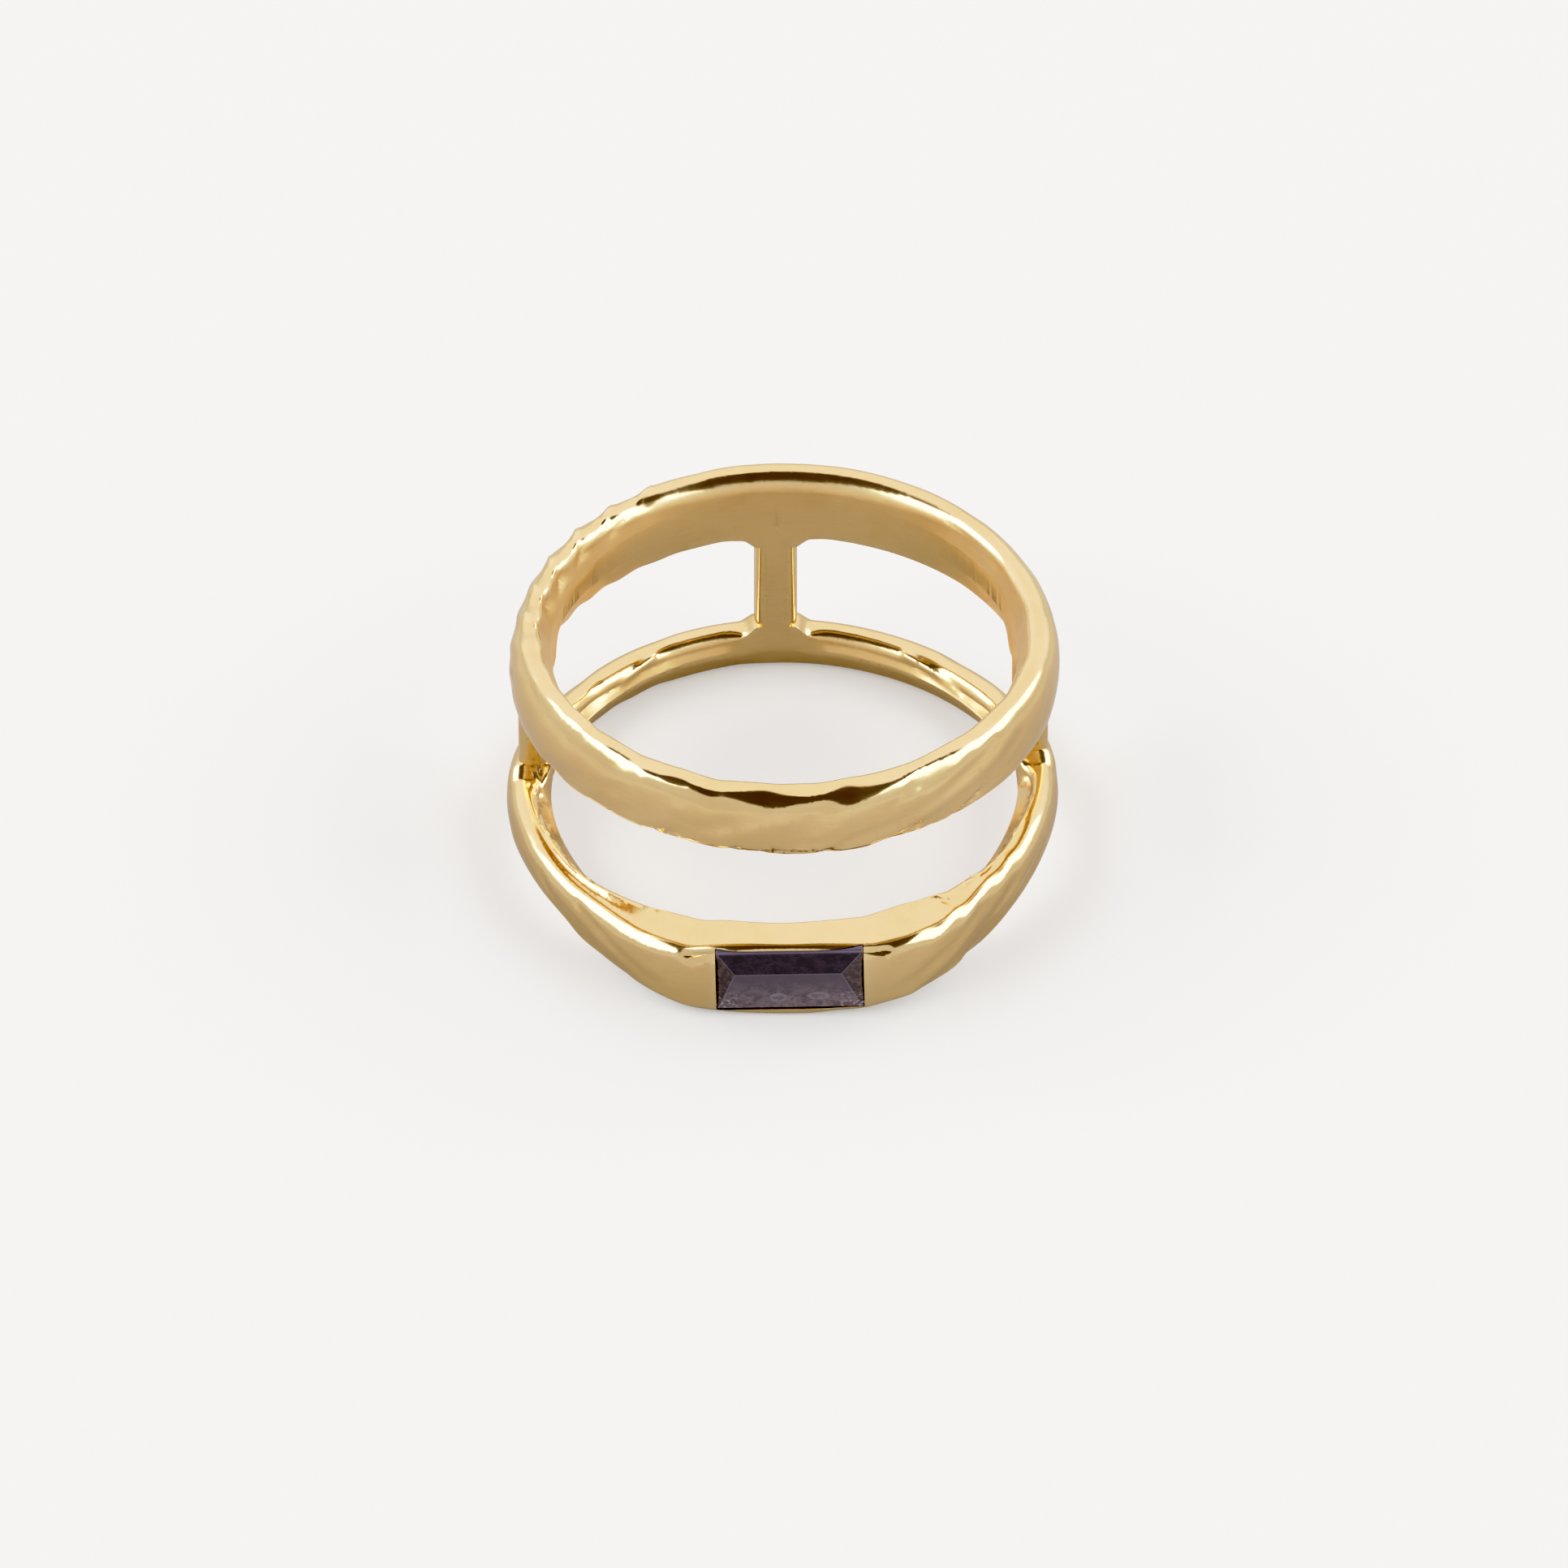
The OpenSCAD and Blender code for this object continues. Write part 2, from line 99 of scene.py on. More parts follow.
LOWER_BAND = named_rows(BAND_COLUMNS, [
    (-180, 1.50, 3.15, OUTER_R - 0.20, CREASE_R - 0.20, 0.50, 0.00),
    (-150, 1.48, 3.08, OUTER_R - 0.15, CREASE_R - 0.20, 0.50, 0.00),
    (-130, 1.40, 2.95, OUTER_R - 0.10, CREASE_R - 0.15, 0.50, 0.00),
    (-110, 1.40, 2.98, OUTER_R, CREASE_R, 0.50, 0.00),
    (-90, 1.50, 3.22, OUTER_R + 0.15, CREASE_R + 0.15, 0.45, 0.00),
    (-70, 1.52, 3.15, OUTER_R + 0.10, CREASE_R + 0.10, 0.40, 0.03),
    (-58, 1.30, 2.95, OUTER_R + 0.08, CREASE_R + 0.05, 0.35, 0.06),
    (-48, 0.82, 2.85, OUTER_R + 0.05, CREASE_R - 0.05, 0.30, 0.12),
    (-42, 0.72, 2.83, OUTER_R + 0.10, CREASE_R - 0.15, 0.25, 0.15),
    (-36, 0.58, 2.83, OUTER_R + 0.22, CREASE_R - 0.22, 0.18, 0.18),
    (-30, 0.46, 2.86, OUTER_R + 0.38, CREASE_R - 0.28, 0.14, 0.18),
    (-25, 0.33, 2.90, OUTER_R + 0.44, CREASE_R - 0.30, 0.12, 0.17),
    (-20, 0.20, 2.93, OUTER_R + 0.42, CREASE_R - 0.30, 0.12, 0.16),
    (-14, 0.12, 3.15, FRONT_FLAT / math.cos(math.radians(14)), CREASE_R - 0.30, 0.12, 0.14),
    (-7, 0.03, 3.24, FRONT_FLAT / math.cos(math.radians(7)), CREASE_R - 0.30, 0.12, 0.12),
    (0, 0.00, 3.25, FRONT_FLAT, CREASE_R - 0.30, 0.12, 0.12),
    (7, 0.03, 3.26, FRONT_FLAT / math.cos(math.radians(7)), CREASE_R - 0.30, 0.12, 0.14),
    (14, 0.12, 3.20, FRONT_FLAT / math.cos(math.radians(14)), CREASE_R - 0.30, 0.12, 0.16),
    (20, 0.24, 3.10, OUTER_R + 0.46, CREASE_R - 0.30, 0.12, 0.18),
    (25, 0.44, 3.15, OUTER_R + 0.60, CREASE_R - 0.30, 0.12, 0.18),
    (30, 0.58, 3.20, OUTER_R + 0.60, CREASE_R - 0.28, 0.14, 0.16),
    (36, 0.72, 3.22, OUTER_R + 0.48, CREASE_R - 0.22, 0.18, 0.12),
    (42, 0.85, 3.24, OUTER_R + 0.26, CREASE_R - 0.15, 0.25, 0.08),
    (48, 0.92, 3.32, OUTER_R + 0.08, CREASE_R - 0.05, 0.30, 0.04),
    (60, 1.42, 3.50, OUTER_R + 0.03, CREASE_R + 0.05, 0.40, 0.00),
    (75, 1.88, 3.65, OUTER_R + 0.02, CREASE_R + 0.15, 0.45, 0.00),
    (95, 1.80, 3.40, OUTER_R, CREASE_R + 0.10, 0.50, 0.00),
    (120, 1.55, 3.02, OUTER_R - 0.08, CREASE_R - 0.10, 0.50, 0.00),
    (150, 1.50, 3.02, OUTER_R - 0.15, CREASE_R - 0.20, 0.50, 0.00),
    (180, 1.50, 3.15, OUTER_R - 0.20, CREASE_R - 0.20, 0.50, 0.00),
])

# What the sections share: the plain land of the inner wall, above and below the middle, as a
# part of the band's height, and the bow of the outer face, which is less at the stone
UPPER_LAND = 0.15
LOWER_LAND = 0.05
CROWN = 0.105
CROWN_LESS_AT_FRONT = 0.09
FRONT_SPAN = 20
# how wide the top is where it rises, and the least flat of it between shoulder and roll
RISING_W = 1.2
LEAST_FLAT = 0.08
# how far the inner edges are rounded downwards and upwards, and the lower one's step outwards
ROLL_DROP = 0.84
LOWER_ROLL = 0.15
LOWER_CREASE_STEP = 0.05
# the face to which the shoulder and the lower edge turn, and how far the lower edge reaches
# upwards and inwards, as parts of its radius
EDGE_FACING = 12
LOWER_EDGE_UP = 0.79
LOWER_EDGE_IN = 0.98
# how far out from the finger hole's wall the relief starts, and over what distance it grows
RELIEF_START = 0.01
RELIEF_FADE = 0.25

# Shoulders between the top line and the outer face: how far from the top line, in millimetres,
# the surface has turned down to face 80, 40 and 12 degrees, and the radius of the lower edge
SHOULDER_STEPS = 128
SHOULDER_COLUMNS = ("angle", "80 degrees", "40 degrees", "12 degrees", "lower radius")
UPPER_SHOULDER = named_rows(SHOULDER_COLUMNS, [
    (-180, 0.20, 0.42, 0.70, 0.50), (-140, 0.18, 0.46, 0.80, 0.50), (-110, 0.20, 0.58, 1.05, 0.50),
    (-85, 0.22, 0.62, 1.20, 0.50), (-70, 0.22, 0.48, 1.40, 0.50),
    (-60, 0.22, 0.44, 1.50, 0.50), (-52, 0.22, 0.48, 1.50, 0.50), (-49, 0.20, 0.38, 1.35, 0.50),
    (-43, 0.20, 0.38, 1.35, 0.50), (-40, 0.22, 0.44, 1.40, 0.50), (-36, 0.22, 0.44, 1.30, 0.50),
    (-32, 0.22, 0.44, 1.00, 0.50), (-28, 0.22, 0.50, 1.00, 0.50), (-25, 0.16, 0.64, 1.00, 0.50),
    (-22.5, 0.16, 0.58, 1.00, 0.50), (-20, 0.22, 0.42, 1.00, 0.50), (-15, 0.10, 0.40, 1.00, 0.50),
    (-12, 0.07, 0.40, 1.00, 0.50), (-9, 0.06, 0.58, 1.00, 0.50), (-6, 0.07, 0.78, 1.05, 0.50),
    (-3.5, 0.12, 0.90, 1.10, 0.50), (-1, 0.24, 0.90, 1.10, 0.50), (2, 0.32, 0.72, 1.10, 0.50),
    (5, 0.32, 0.62, 1.10, 0.50), (8.5, 0.18, 0.46, 1.10, 0.50), (11, 0.14, 0.72, 1.15, 0.50),
    (13.5, 0.16, 1.10, 1.22, 0.50), (16.5, 0.20, 1.00, 1.18, 0.50), (19.5, 0.26, 0.80, 1.10, 0.50),
    (23, 0.28, 0.56, 1.10, 0.50), (26, 0.28, 0.50, 1.15, 0.50), (30, 0.26, 0.38, 1.35, 0.50),
    (34, 0.25, 0.38, 1.45, 0.50), (38, 0.25, 0.45, 1.40, 0.50), (44, 0.24, 0.55, 1.20, 0.50),
    (52, 0.22, 0.58, 1.10, 0.50), (105, 0.22, 0.60, 1.05, 0.50), (135, 0.16, 0.46, 0.85, 0.50),
    (180, 0.20, 0.42, 0.70, 0.50),
])
LOWER_SHOULDER = named_rows(SHOULDER_COLUMNS, [
    (-180, 0.15, 0.50, 0.75, 0.35), (-110, 0.15, 0.50, 0.80, 0.40), (-70, 0.20, 0.55, 0.95, 0.45),
    (-55, 0.20, 0.56, 0.95, 0.45), (-45, 0.20, 0.64, 1.02, 0.42), (-35, 0.18, 0.68, 1.02, 0.38),
    (-27, 0.15, 0.62, 0.92, 0.30), (-20, 0.12, 0.62, 0.76, 0.28), (-14, 0.10, 0.50, 0.60, 0.25),
    (0, 0.05, 0.26, 0.30, 0.22), (14, 0.10, 0.46, 0.54, 0.25), (20, 0.12, 0.56, 0.74, 0.28),
    (27, 0.15, 0.56, 0.86, 0.30), (35, 0.18, 0.62, 0.96, 0.38), (45, 0.20, 0.62, 0.98, 0.42),
    (55, 0.20, 0.58, 0.92, 0.45), (70, 0.20, 0.55, 0.95, 0.45), (110, 0.15, 0.50, 0.80, 0.40),
    (180, 0.15, 0.50, 0.75, 0.35),
])

# Each flute starts at its angle at the top rim and leans down to the left. It has one sharp
# side and fades out over its arc, to the right or, where the arc is negative, to the left.
FLUTE_LEAN = 22.0
FLUTE_SHARP_ARC = 2.5
FLUTE_FADING = 1.4
# how soft the sharp sides are eased, and how far away the easing looks, both in sections
EASE = 3.0
EASE_REACH = 9
FLUTE_COLUMNS = ("angle", "rim depth", "face depth", "crease step", "fading arc")
UPPER_FLUTES = named_rows(FLUTE_COLUMNS, [
    (-161, 0.05, 0.02, 0.00, 12), (-144, 0.16, 0.06, 0.05, 10), (-133, 0.19, 0.09, 0.08, 8),
    (-122, 0.21, 0.13, 0.10, 9), (-111, 0.21, 0.14, 0.12, 9), (-101, 0.21, 0.14, 0.12, 9),
    (-91, 0.20, 0.14, 0.10, 9), (-80, 0.16, 0.10, 0.06, 9), (-70, 0.10, 0.06, 0.04, 9),
    (-58, 0.06, 0.03, 0.04, -10),
    (-48, 0.05, 0.03, 0.05, -12), (-35, 0.06, 0.04, 0.06, -12), (-19, 0.06, 0.05, 0.06, -12),
    (0, 0.04, 0.05, 0.04, -14), (12, 0.05, 0.06, 0.04, 16), (31, 0.05, 0.06, 0.03, 14),
    (47, 0.04, 0.05, 0.03, 14), (63, 0.04, 0.05, 0.04, 14), (80, 0.04, 0.03, 0.05, 14),
    (98, 0.03, 0.02, 0.05, 14), (116, 0.03, 0.02, 0.04, 14), (134, 0.03, 0.02, 0.03, 14),
    (152, 0.02, 0.02, 0.01, 14), (172, 0.02, 0.02, 0.01, 14),
])
LOWER_FLUTES = named_rows(FLUTE_COLUMNS, [
    (-150, 0.06, 0.02, 0.05, 12), (-128, 0.09, 0.03, 0.10, 10), (-116, 0.09, 0.02, 0.10, 8),
    (-66, 0.05, 0.02, 0.02, -14), (-33, 0.08, 0.04, 0.00, -12), (32, 0.09, 0.05, 0.00, 9),
    (41, 0.12, 0.06, 0.02, 9), (53, 0.09, 0.05, 0.06, 8), (61, 0.10, 0.04, 0.08, 10),
    (124, 0.08, 0.03, 0.06, -10), (142, 0.08, 0.03, 0.06, -12),
])

# Relief of the cast surface: angle and distance from the top line in millimetres at both ends
# of a stroke, half its width, and its height. Its angles become lengths at one radius, and its
# ends fade over 1.6 times half its width.
STROKE_R = 9.8
STROKE_END = 1.6
STROKE_COLUMNS = ("start angle", "start", "end angle", "end", "half width", "height")
UPPER_STROKES = named_rows(STROKE_COLUMNS, [
    # folds that run down to the left from the dark hollows of the shoulder
    (5, 2.15, 30, 1.15, 0.30, 0.05), (-16, 2.2, 4, 1.45, 0.28, 0.04), (-40, 2.3, -22, 1.4, 0.28, 0.04),
    # streaks that rise to the right across the outer face
    (8, 2.9, 52, 0.9, 0.45, -0.075), (20, 3.1, 60, 1.5, 0.45, -0.075),
    (-4, 2.9, 24, 1.3, 0.40, -0.06), (32, 3.0, 66, 1.9, 0.40, -0.06),
    (-60, 2.9, -36, 1.6, 0.50, -0.05), (-46, 2.9, -24, 1.5, 0.50, -0.05), (-30, 2.8, -12, 1.4, 0.40, -0.05),
    # nicks of the lower edge
    (-34, 3.3, -22, 2.6, 0.20, -0.09), (-16, 3.2, -10, 2.7, 0.20, -0.08),
    (-8, 3.2, 8, 2.85, 0.18, -0.08), (22, 3.2, 30, 2.7, 0.20, -0.08),
    (38, 3.2, 46, 2.6, 0.20, -0.08),
    # crests of the left rim between its flutes
    (-150, 0.55, -144, -0.15, 0.22, 0.05), (-139, 0.55, -133, -0.15, 0.22, 0.06),
    (-128, 0.55, -122, -0.15, 0.22, 0.06), (-117, 0.55, -111, -0.15, 0.22, 0.06),
    (-107, 0.55, -101, -0.15, 0.22, 0.06), (-97, 0.55, -91, -0.15, 0.22, 0.05),
    # folds of the left inner wall
    (-139, -0.55, -131, -0.85, 0.14, -0.04), (-123, -0.55, -117, -1.1, 0.18, -0.04),
    (-113, -0.55, -107, -1.1, 0.18, -0.04), (-103, -0.55, -97, -1.1, 0.18, -0.04),
    # folds of the right inner wall
    (146, -0.75, 128, -1.0, 0.12, 0.03), (128, -1.0, 112, -1.25, 0.12, 0.03),
    (137, -0.6, 118, -0.65, 0.11, -0.04), (118, -0.65, 104, -0.65, 0.11, -0.04),
])
LOWER_STROKES = named_rows(STROKE_COLUMNS, [
    # folds of the inner roll beside the back bar
    (150, -0.50, 132, -0.95, 0.24, 0.07), (-147, -0.45, -136, -0.90, 0.22, 0.06),
    # creases at both ends of the stone, below the shoulder
    (-20.5, 0.62, -13, 0.60, 0.30, -0.16), (13, 0.54, 21.5, 0.54, 0.24, -0.11),
    # crumpled strip of the inner edge, left and right
    (-93, -0.35, -85, -0.75, 0.12, -0.05), (-88, -0.20, -81, -0.60, 0.10, 0.04),
    (-81, -0.55, -74, -0.20, 0.10, -0.05), (-77, -0.75, -68, -0.35, 0.12, -0.05),
    (-71, -0.25, -62, -0.60, 0.10, 0.04), (-66, -0.60, -57, -0.30, 0.10, -0.05),
    (-59, -0.60, -50, -0.30, 0.10, -0.04), (-53, -0.35, -44, -0.75, 0.12, -0.04),
    (29, -0.85, 31, -0.15, 0.16, -0.05), (37, -0.85, 40, -0.15, 0.16, -0.06),
    (46, -0.65, 50, -0.20, 0.12, -0.05), (53, -0.60, 57, -0.20, 0.10, -0.05),
    (59, -0.30, 65, -0.75, 0.12, -0.05),
    (66, -0.25, 73, -0.60, 0.10, 0.04), (74, -0.55, 81, -0.20, 0.10, -0.05),
    (82, -0.30, 91, -0.70, 0.12, -0.05),
    # streaks that rise to the right across the outer face
    (18, 2.7, 46, 0.9, 0.35, -0.07), (28, 2.9, 58, 1.2, 0.35, -0.07), (40, 2.7, 70, 1.3, 0.30, -0.06),
    (-62, 1.0, -34, 2.5, 0.35, -0.05), (-50, 0.8, -26, 2.2, 0.30, -0.05),
])

# Bars: angles, width, depth outwards from the finger hole, and spread of their feet
BAR_ANGLES = (-97, 101, 182)
BAR_W = 1.7
BAR_DEPTH = 1.25
BAR_FILLET = 0.34
# power that squares a bar's round section, and how much narrower it is towards the finger
BAR_SQUARING = 0.55
BAR_TAPER = 0.12
# how far the fillets start inside the bands, and how far the ends run on into them
FOOT_SINK = 0.05
HEAD_SINK = 0.1
FOOT_ROOT = 0.45
HEAD_ROOT = 0.6
# Beside the bars the bands lose their inner crease over one distance and rise to meet the bars
# over another. Both start a little inside a bar's side, and are measured at one radius.
BAR_SIDE_R = BORE_R + 0.6
BAR_EASE_START = 0.15
CREASE_EASE = 1.5
LIFT_EASE = 0.65
LIFT = 0.35
WALL_CLEAR = 0.01

# Stone, from its table back to its keel
STONE_W = 5.4
STONE_H = 2.7
STONE_DEPTH = 1.05
STONE_GAP = 0.03
CROWN_BEVEL = 0.12
GIRDLE = 0.25
PAVILION_STEP = 0.35
PAVILION_INSET = 0.4
KEEL_HALF = 0.02
SEAT_REACH = 1.0
STONE_PLACE = (
    Matrix.Translation(Vector((0.2, -FRONT_FLAT - 0.03, 0.34 + STONE_H / 2)))
    @ Matrix.Rotation(math.radians(-1.2), 4, "Y")
)

# Colours of the gold: two tones in patches, painted shade that darkens the hollows, and a painted highlight
# that makes raised edges paler
GOLD_WARM = (0.79, 0.555, 0.262)
GOLD_PALE = (0.85, 0.615, 0.31)
GOLD_PAINTED_SHADE = (0.55, 0.33, 0.12)
GOLD_PAINTED_HIGHLIGHT = (0.90, 0.70, 0.40)

# Painted light and shade of the stone's facets seen through its table: the upper facet and the end facets
# painted in shade, the lower one painted lit and painted darker high up; each facet from clear to cloudy
UPPER_FACET_SHADE_CLEAR = (0.012, 0.008, 0.015)
UPPER_FACET_SHADE_CLOUDY = (0.026, 0.018, 0.030)
LOWER_FACET_SHADE_HIGH = (0.062, 0.052, 0.068)
LOWER_FACET_LIT_CLEAR = (0.084, 0.063, 0.075)
LOWER_FACET_LIT_CLOUDY = (0.205, 0.155, 0.168)
LEFT_FACET_SHADE = (0.034, 0.022, 0.024)
RIGHT_FACET_SHADE = (0.046, 0.032, 0.035)
END_FACET_SHADE_CLOUDY = (0.085, 0.062, 0.066)
INCLUSION = (0.24, 0.20, 0.25)
# painted highlights: glints in the lower corners, and light lines along the facet joints and the top edge
PAINTED_GLINT = (0.50, 0.42, 0.42)
FACET_JOINT_HIGHLIGHT = (0.22, 0.18, 0.25)
# width of the end facets and height of the upper one, as parts of the table's
LEFT_FACET_W = 0.125
RIGHT_FACET_W = 0.148
UPPER_FACET_H = 0.39
# oval inclusions, as parts of the table's width and height
INCLUSION_COLUMNS = ("across", "up", "half width", "half height")
INCLUSIONS = named_rows(INCLUSION_COLUMNS, [(0.42, 0.21, 0.055, 0.07), (0.69, 0.23, 0.07, 0.06)])

# Floor as the camera sees it, and as the gold mirrors it near the ring, with painted shade, and far from it
PAPER = (0.68, 0.676, 0.668, 1)
PAPER_GLOW = (1, 0.994, 0.986, 1)
MIRRORED_SHADE_NEAR = (0.45, 0.44, 0.42)
MIRRORED_FAR = (0.57, 0.56, 0.54)
NEAR_REACH = 0.012
FAR_REACH = 0.06

# Studio: brightness all round, behind the ring, in the dark patch overhead and in two boxes.
# The patch has its azimuth and elevation, and an inner and outer angle; a box has its azimuth
# and elevation, and half its width and height, all in degrees.
GLOW = (0.75, 0.74, 0.72)
GLOW_BEHIND = (1.36, 1.23, 1.24)
DARK = (0.09, 0.075, 0.06)
DARK_PATCH = (0, 82, 31, 40)
LEFT_BOX = (-89, 40, 24, 16)
LEFT_LIGHT = (4.5, 4.5, 4.5)
RIGHT_BOX = (97, 40, 31, 16)
RIGHT_LIGHT = (3.8, 3.8, 3.8)
BOX_SOFT = 4

# Camera: what it looks at, how high it stands, how far away in metres, and how much it shows
TARGET = Vector((0.048, 0.004, 2.0235)) * MM
CAMERA_ELEVATION = math.radians(43.19)
CAMERA_FAR = 0.8
PICTURE_W = 58.19 * MM
SENSOR_W = 36

# Light in the scene, and how light it is shown, up to twice the white of the plain view
WHITE_LEVEL = 2
FILM_CURVE = (
    (0.03, 0.003), (0.06, 0.032), (0.12, 0.11), (0.43, 0.44), (0.61, 0.61), (0.87, 0.75), (1.23, 0.90),
    (1.6, 0.97),
)


# Helpers for modelling
def deselect():
    if bpy.context.object and bpy.context.object.mode != "OBJECT":
        bpy.ops.object.mode_set(mode="OBJECT")
    bpy.ops.object.select_all(action="DESELECT")


def pick(piece):
    deselect()
    piece.select_set(True)
    bpy.context.view_layer.objects.active = piece


def bake_place(piece, place=Matrix.Identity(4)):
    """Turns and moves a piece made in millimetres to its place in metres, in its mesh."""
    world = Matrix.Scale(MM, 4) @ LAID @ place @ piece.matrix_world
    piece.data.transform(world)
    piece.matrix_world = Matrix.Identity(4)
    piece.data.update()


def outward(piece, near=2e-4):
    """Closes seams and turns all faces outwards."""
    pick(piece)
    bpy.ops.object.mode_set(mode="EDIT")
    bpy.ops.mesh.select_all(action="SELECT")
    bpy.ops.mesh.remove_doubles(threshold=near)
    bpy.ops.mesh.normals_make_consistent(inside=False)
    bpy.ops.object.mode_set(mode="OBJECT")


def apply(piece, kind, **settings):
    pick(piece)
    modifier = piece.modifiers.new(kind.title(), kind)
    for name, value in settings.items():
        setattr(modifier, name, value)
    bpy.ops.object.modifier_apply(modifier=modifier.name)


def points_of(mesh):
    co = np.zeros(len(mesh.vertices) * 3)
    mesh.vertices.foreach_get("co", co)
    return co.reshape(-1, 3)


def smooth(t):
    return t * t * (3 - 2 * t)


# Bands
def wrap(angle):
    return (angle + 180.0) % 360.0 - 180.0


def read(table, column, angle):
    """Smooth curve through a column of a table that closes on itself after a full turn."""
    at, value = table["angle"], table[column]
    low = np.r_[at[-2] - 360, at[:-1]]
    high = np.r_[at[1:], at[1] + 360]
    slope = (np.r_[value[1:], value[1]] - np.r_[value[-2], value[:-1]]) / (high - low)
    i = np.clip(np.searchsorted(at, angle, side="right") - 1, 0, len(at) - 2)
    run = at[i + 1] - at[i]
    t = (angle - at[i]) / run
    return (
        value[i] * (2 * t**3 - 3 * t**2 + 1) + slope[i] * run * (t**3 - 2 * t**2 + t)
        + value[i + 1] * (3 * t**2 - 2 * t**3) + slope[i + 1] * run * (t**3 - t**2)
    )


def fade(off, arc):
    """Depth of a flute beside its deepest line: 1 there, and 0 past its sharp and fading sides."""
    side = off * np.sign(arc)
    return np.where(
        side < 0,
        np.maximum(0, 1 + side / FLUTE_SHARP_ARC),
        np.maximum(0, 1 - side / abs(arc)) ** FLUTE_FADING,
    )


def flutes_at(flutes, column, angle):
    """Depth of the flutes round the ring, with their sharp sides eased."""
    each = zip(flutes["angle"], flutes[column], flutes["fading arc"])
    depth = np.max([deep * fade(wrap(SECTION_ANGLES - start), arc) for start, deep, arc in each], axis=0)
    reach = np.arange(-EASE_REACH, EASE_REACH + 1)
    weight = np.exp(-0.5 * (reach / EASE) ** 2)
    depth = sum(w * np.roll(depth, k) for k, w in zip(reach, weight / weight.sum()))
    return np.interp(wrap(angle), np.r_[SECTION_ANGLES, 180], np.r_[depth, depth[:1]])


def section_rows():
    """The points of a section from the inner bottom edge outwards, up to the top line, and down
    the inner wall: the part of the section, and how far along that part each point lies."""
    rows = [("under", x) for x in np.linspace(0, 1, 7)]
    rows += [("bottom corner", x) for x in np.linspace(0, 1, 9)[1:]]
    rows += [("face", x) for x in np.linspace(0, 1, 10)[1:-1]]
    rows += [("shoulder", x) for x in np.linspace(1, 0, 17)]
    rows += [("flat", x) for x in np.linspace(0, 1, 5)[1:-1]]
    rows += [("roll", x) for x in np.linspace(0, 1, 11)]
    rows += [("upper wall", x) for x in np.linspace(0, 1, 7)[1:]]
    rows += [("lower wall", x) for x in np.linspace(1, 0, 7)[:-1]]
    return rows


def shoulder_curve(t80, t40, t12, tilt):
    """Way outwards and down from the top line to even places along the shoulder, which turns
    down steadily from the flat top to face 80, 40 and 12 degrees at the three distances."""
    t = np.linspace(0, 1, SHOULDER_STEPS + 1)[:, None] * t12
    start, turned = 90 - tilt, np.minimum(80, 89 - tilt)
    near_top = start + (turned - start) * t / t80
    middle = turned + (40 - turned) * (t - t80) / (t40 - t80)
    near_face = 40 - (40 - EDGE_FACING) * (t - t40) / (t12 - t40)
    facing = np.radians(np.where(t < t80, near_top, np.where(t < t40, middle, near_face)))
    step = t12 / SHOULDER_STEPS

    def way(along):
        return np.concatenate([0 * t[:1], np.cumsum((along[1:] + along[:-1]) / 2 * step, axis=0)])

    return way(np.sin(facing)), way(np.cos(facing))


def near_bars(here, spread):
    """1 at a bar, falling softly to 0 over the spread beside it."""
    off = np.min([np.abs(wrap(here - angle)) for angle in BAR_ANGLES], axis=0)
    off = np.radians(off) * BAR_SIDE_R - BAR_W / 2
    return smooth(np.clip(1 - (off + BAR_EASE_START) / spread, 0, 1))


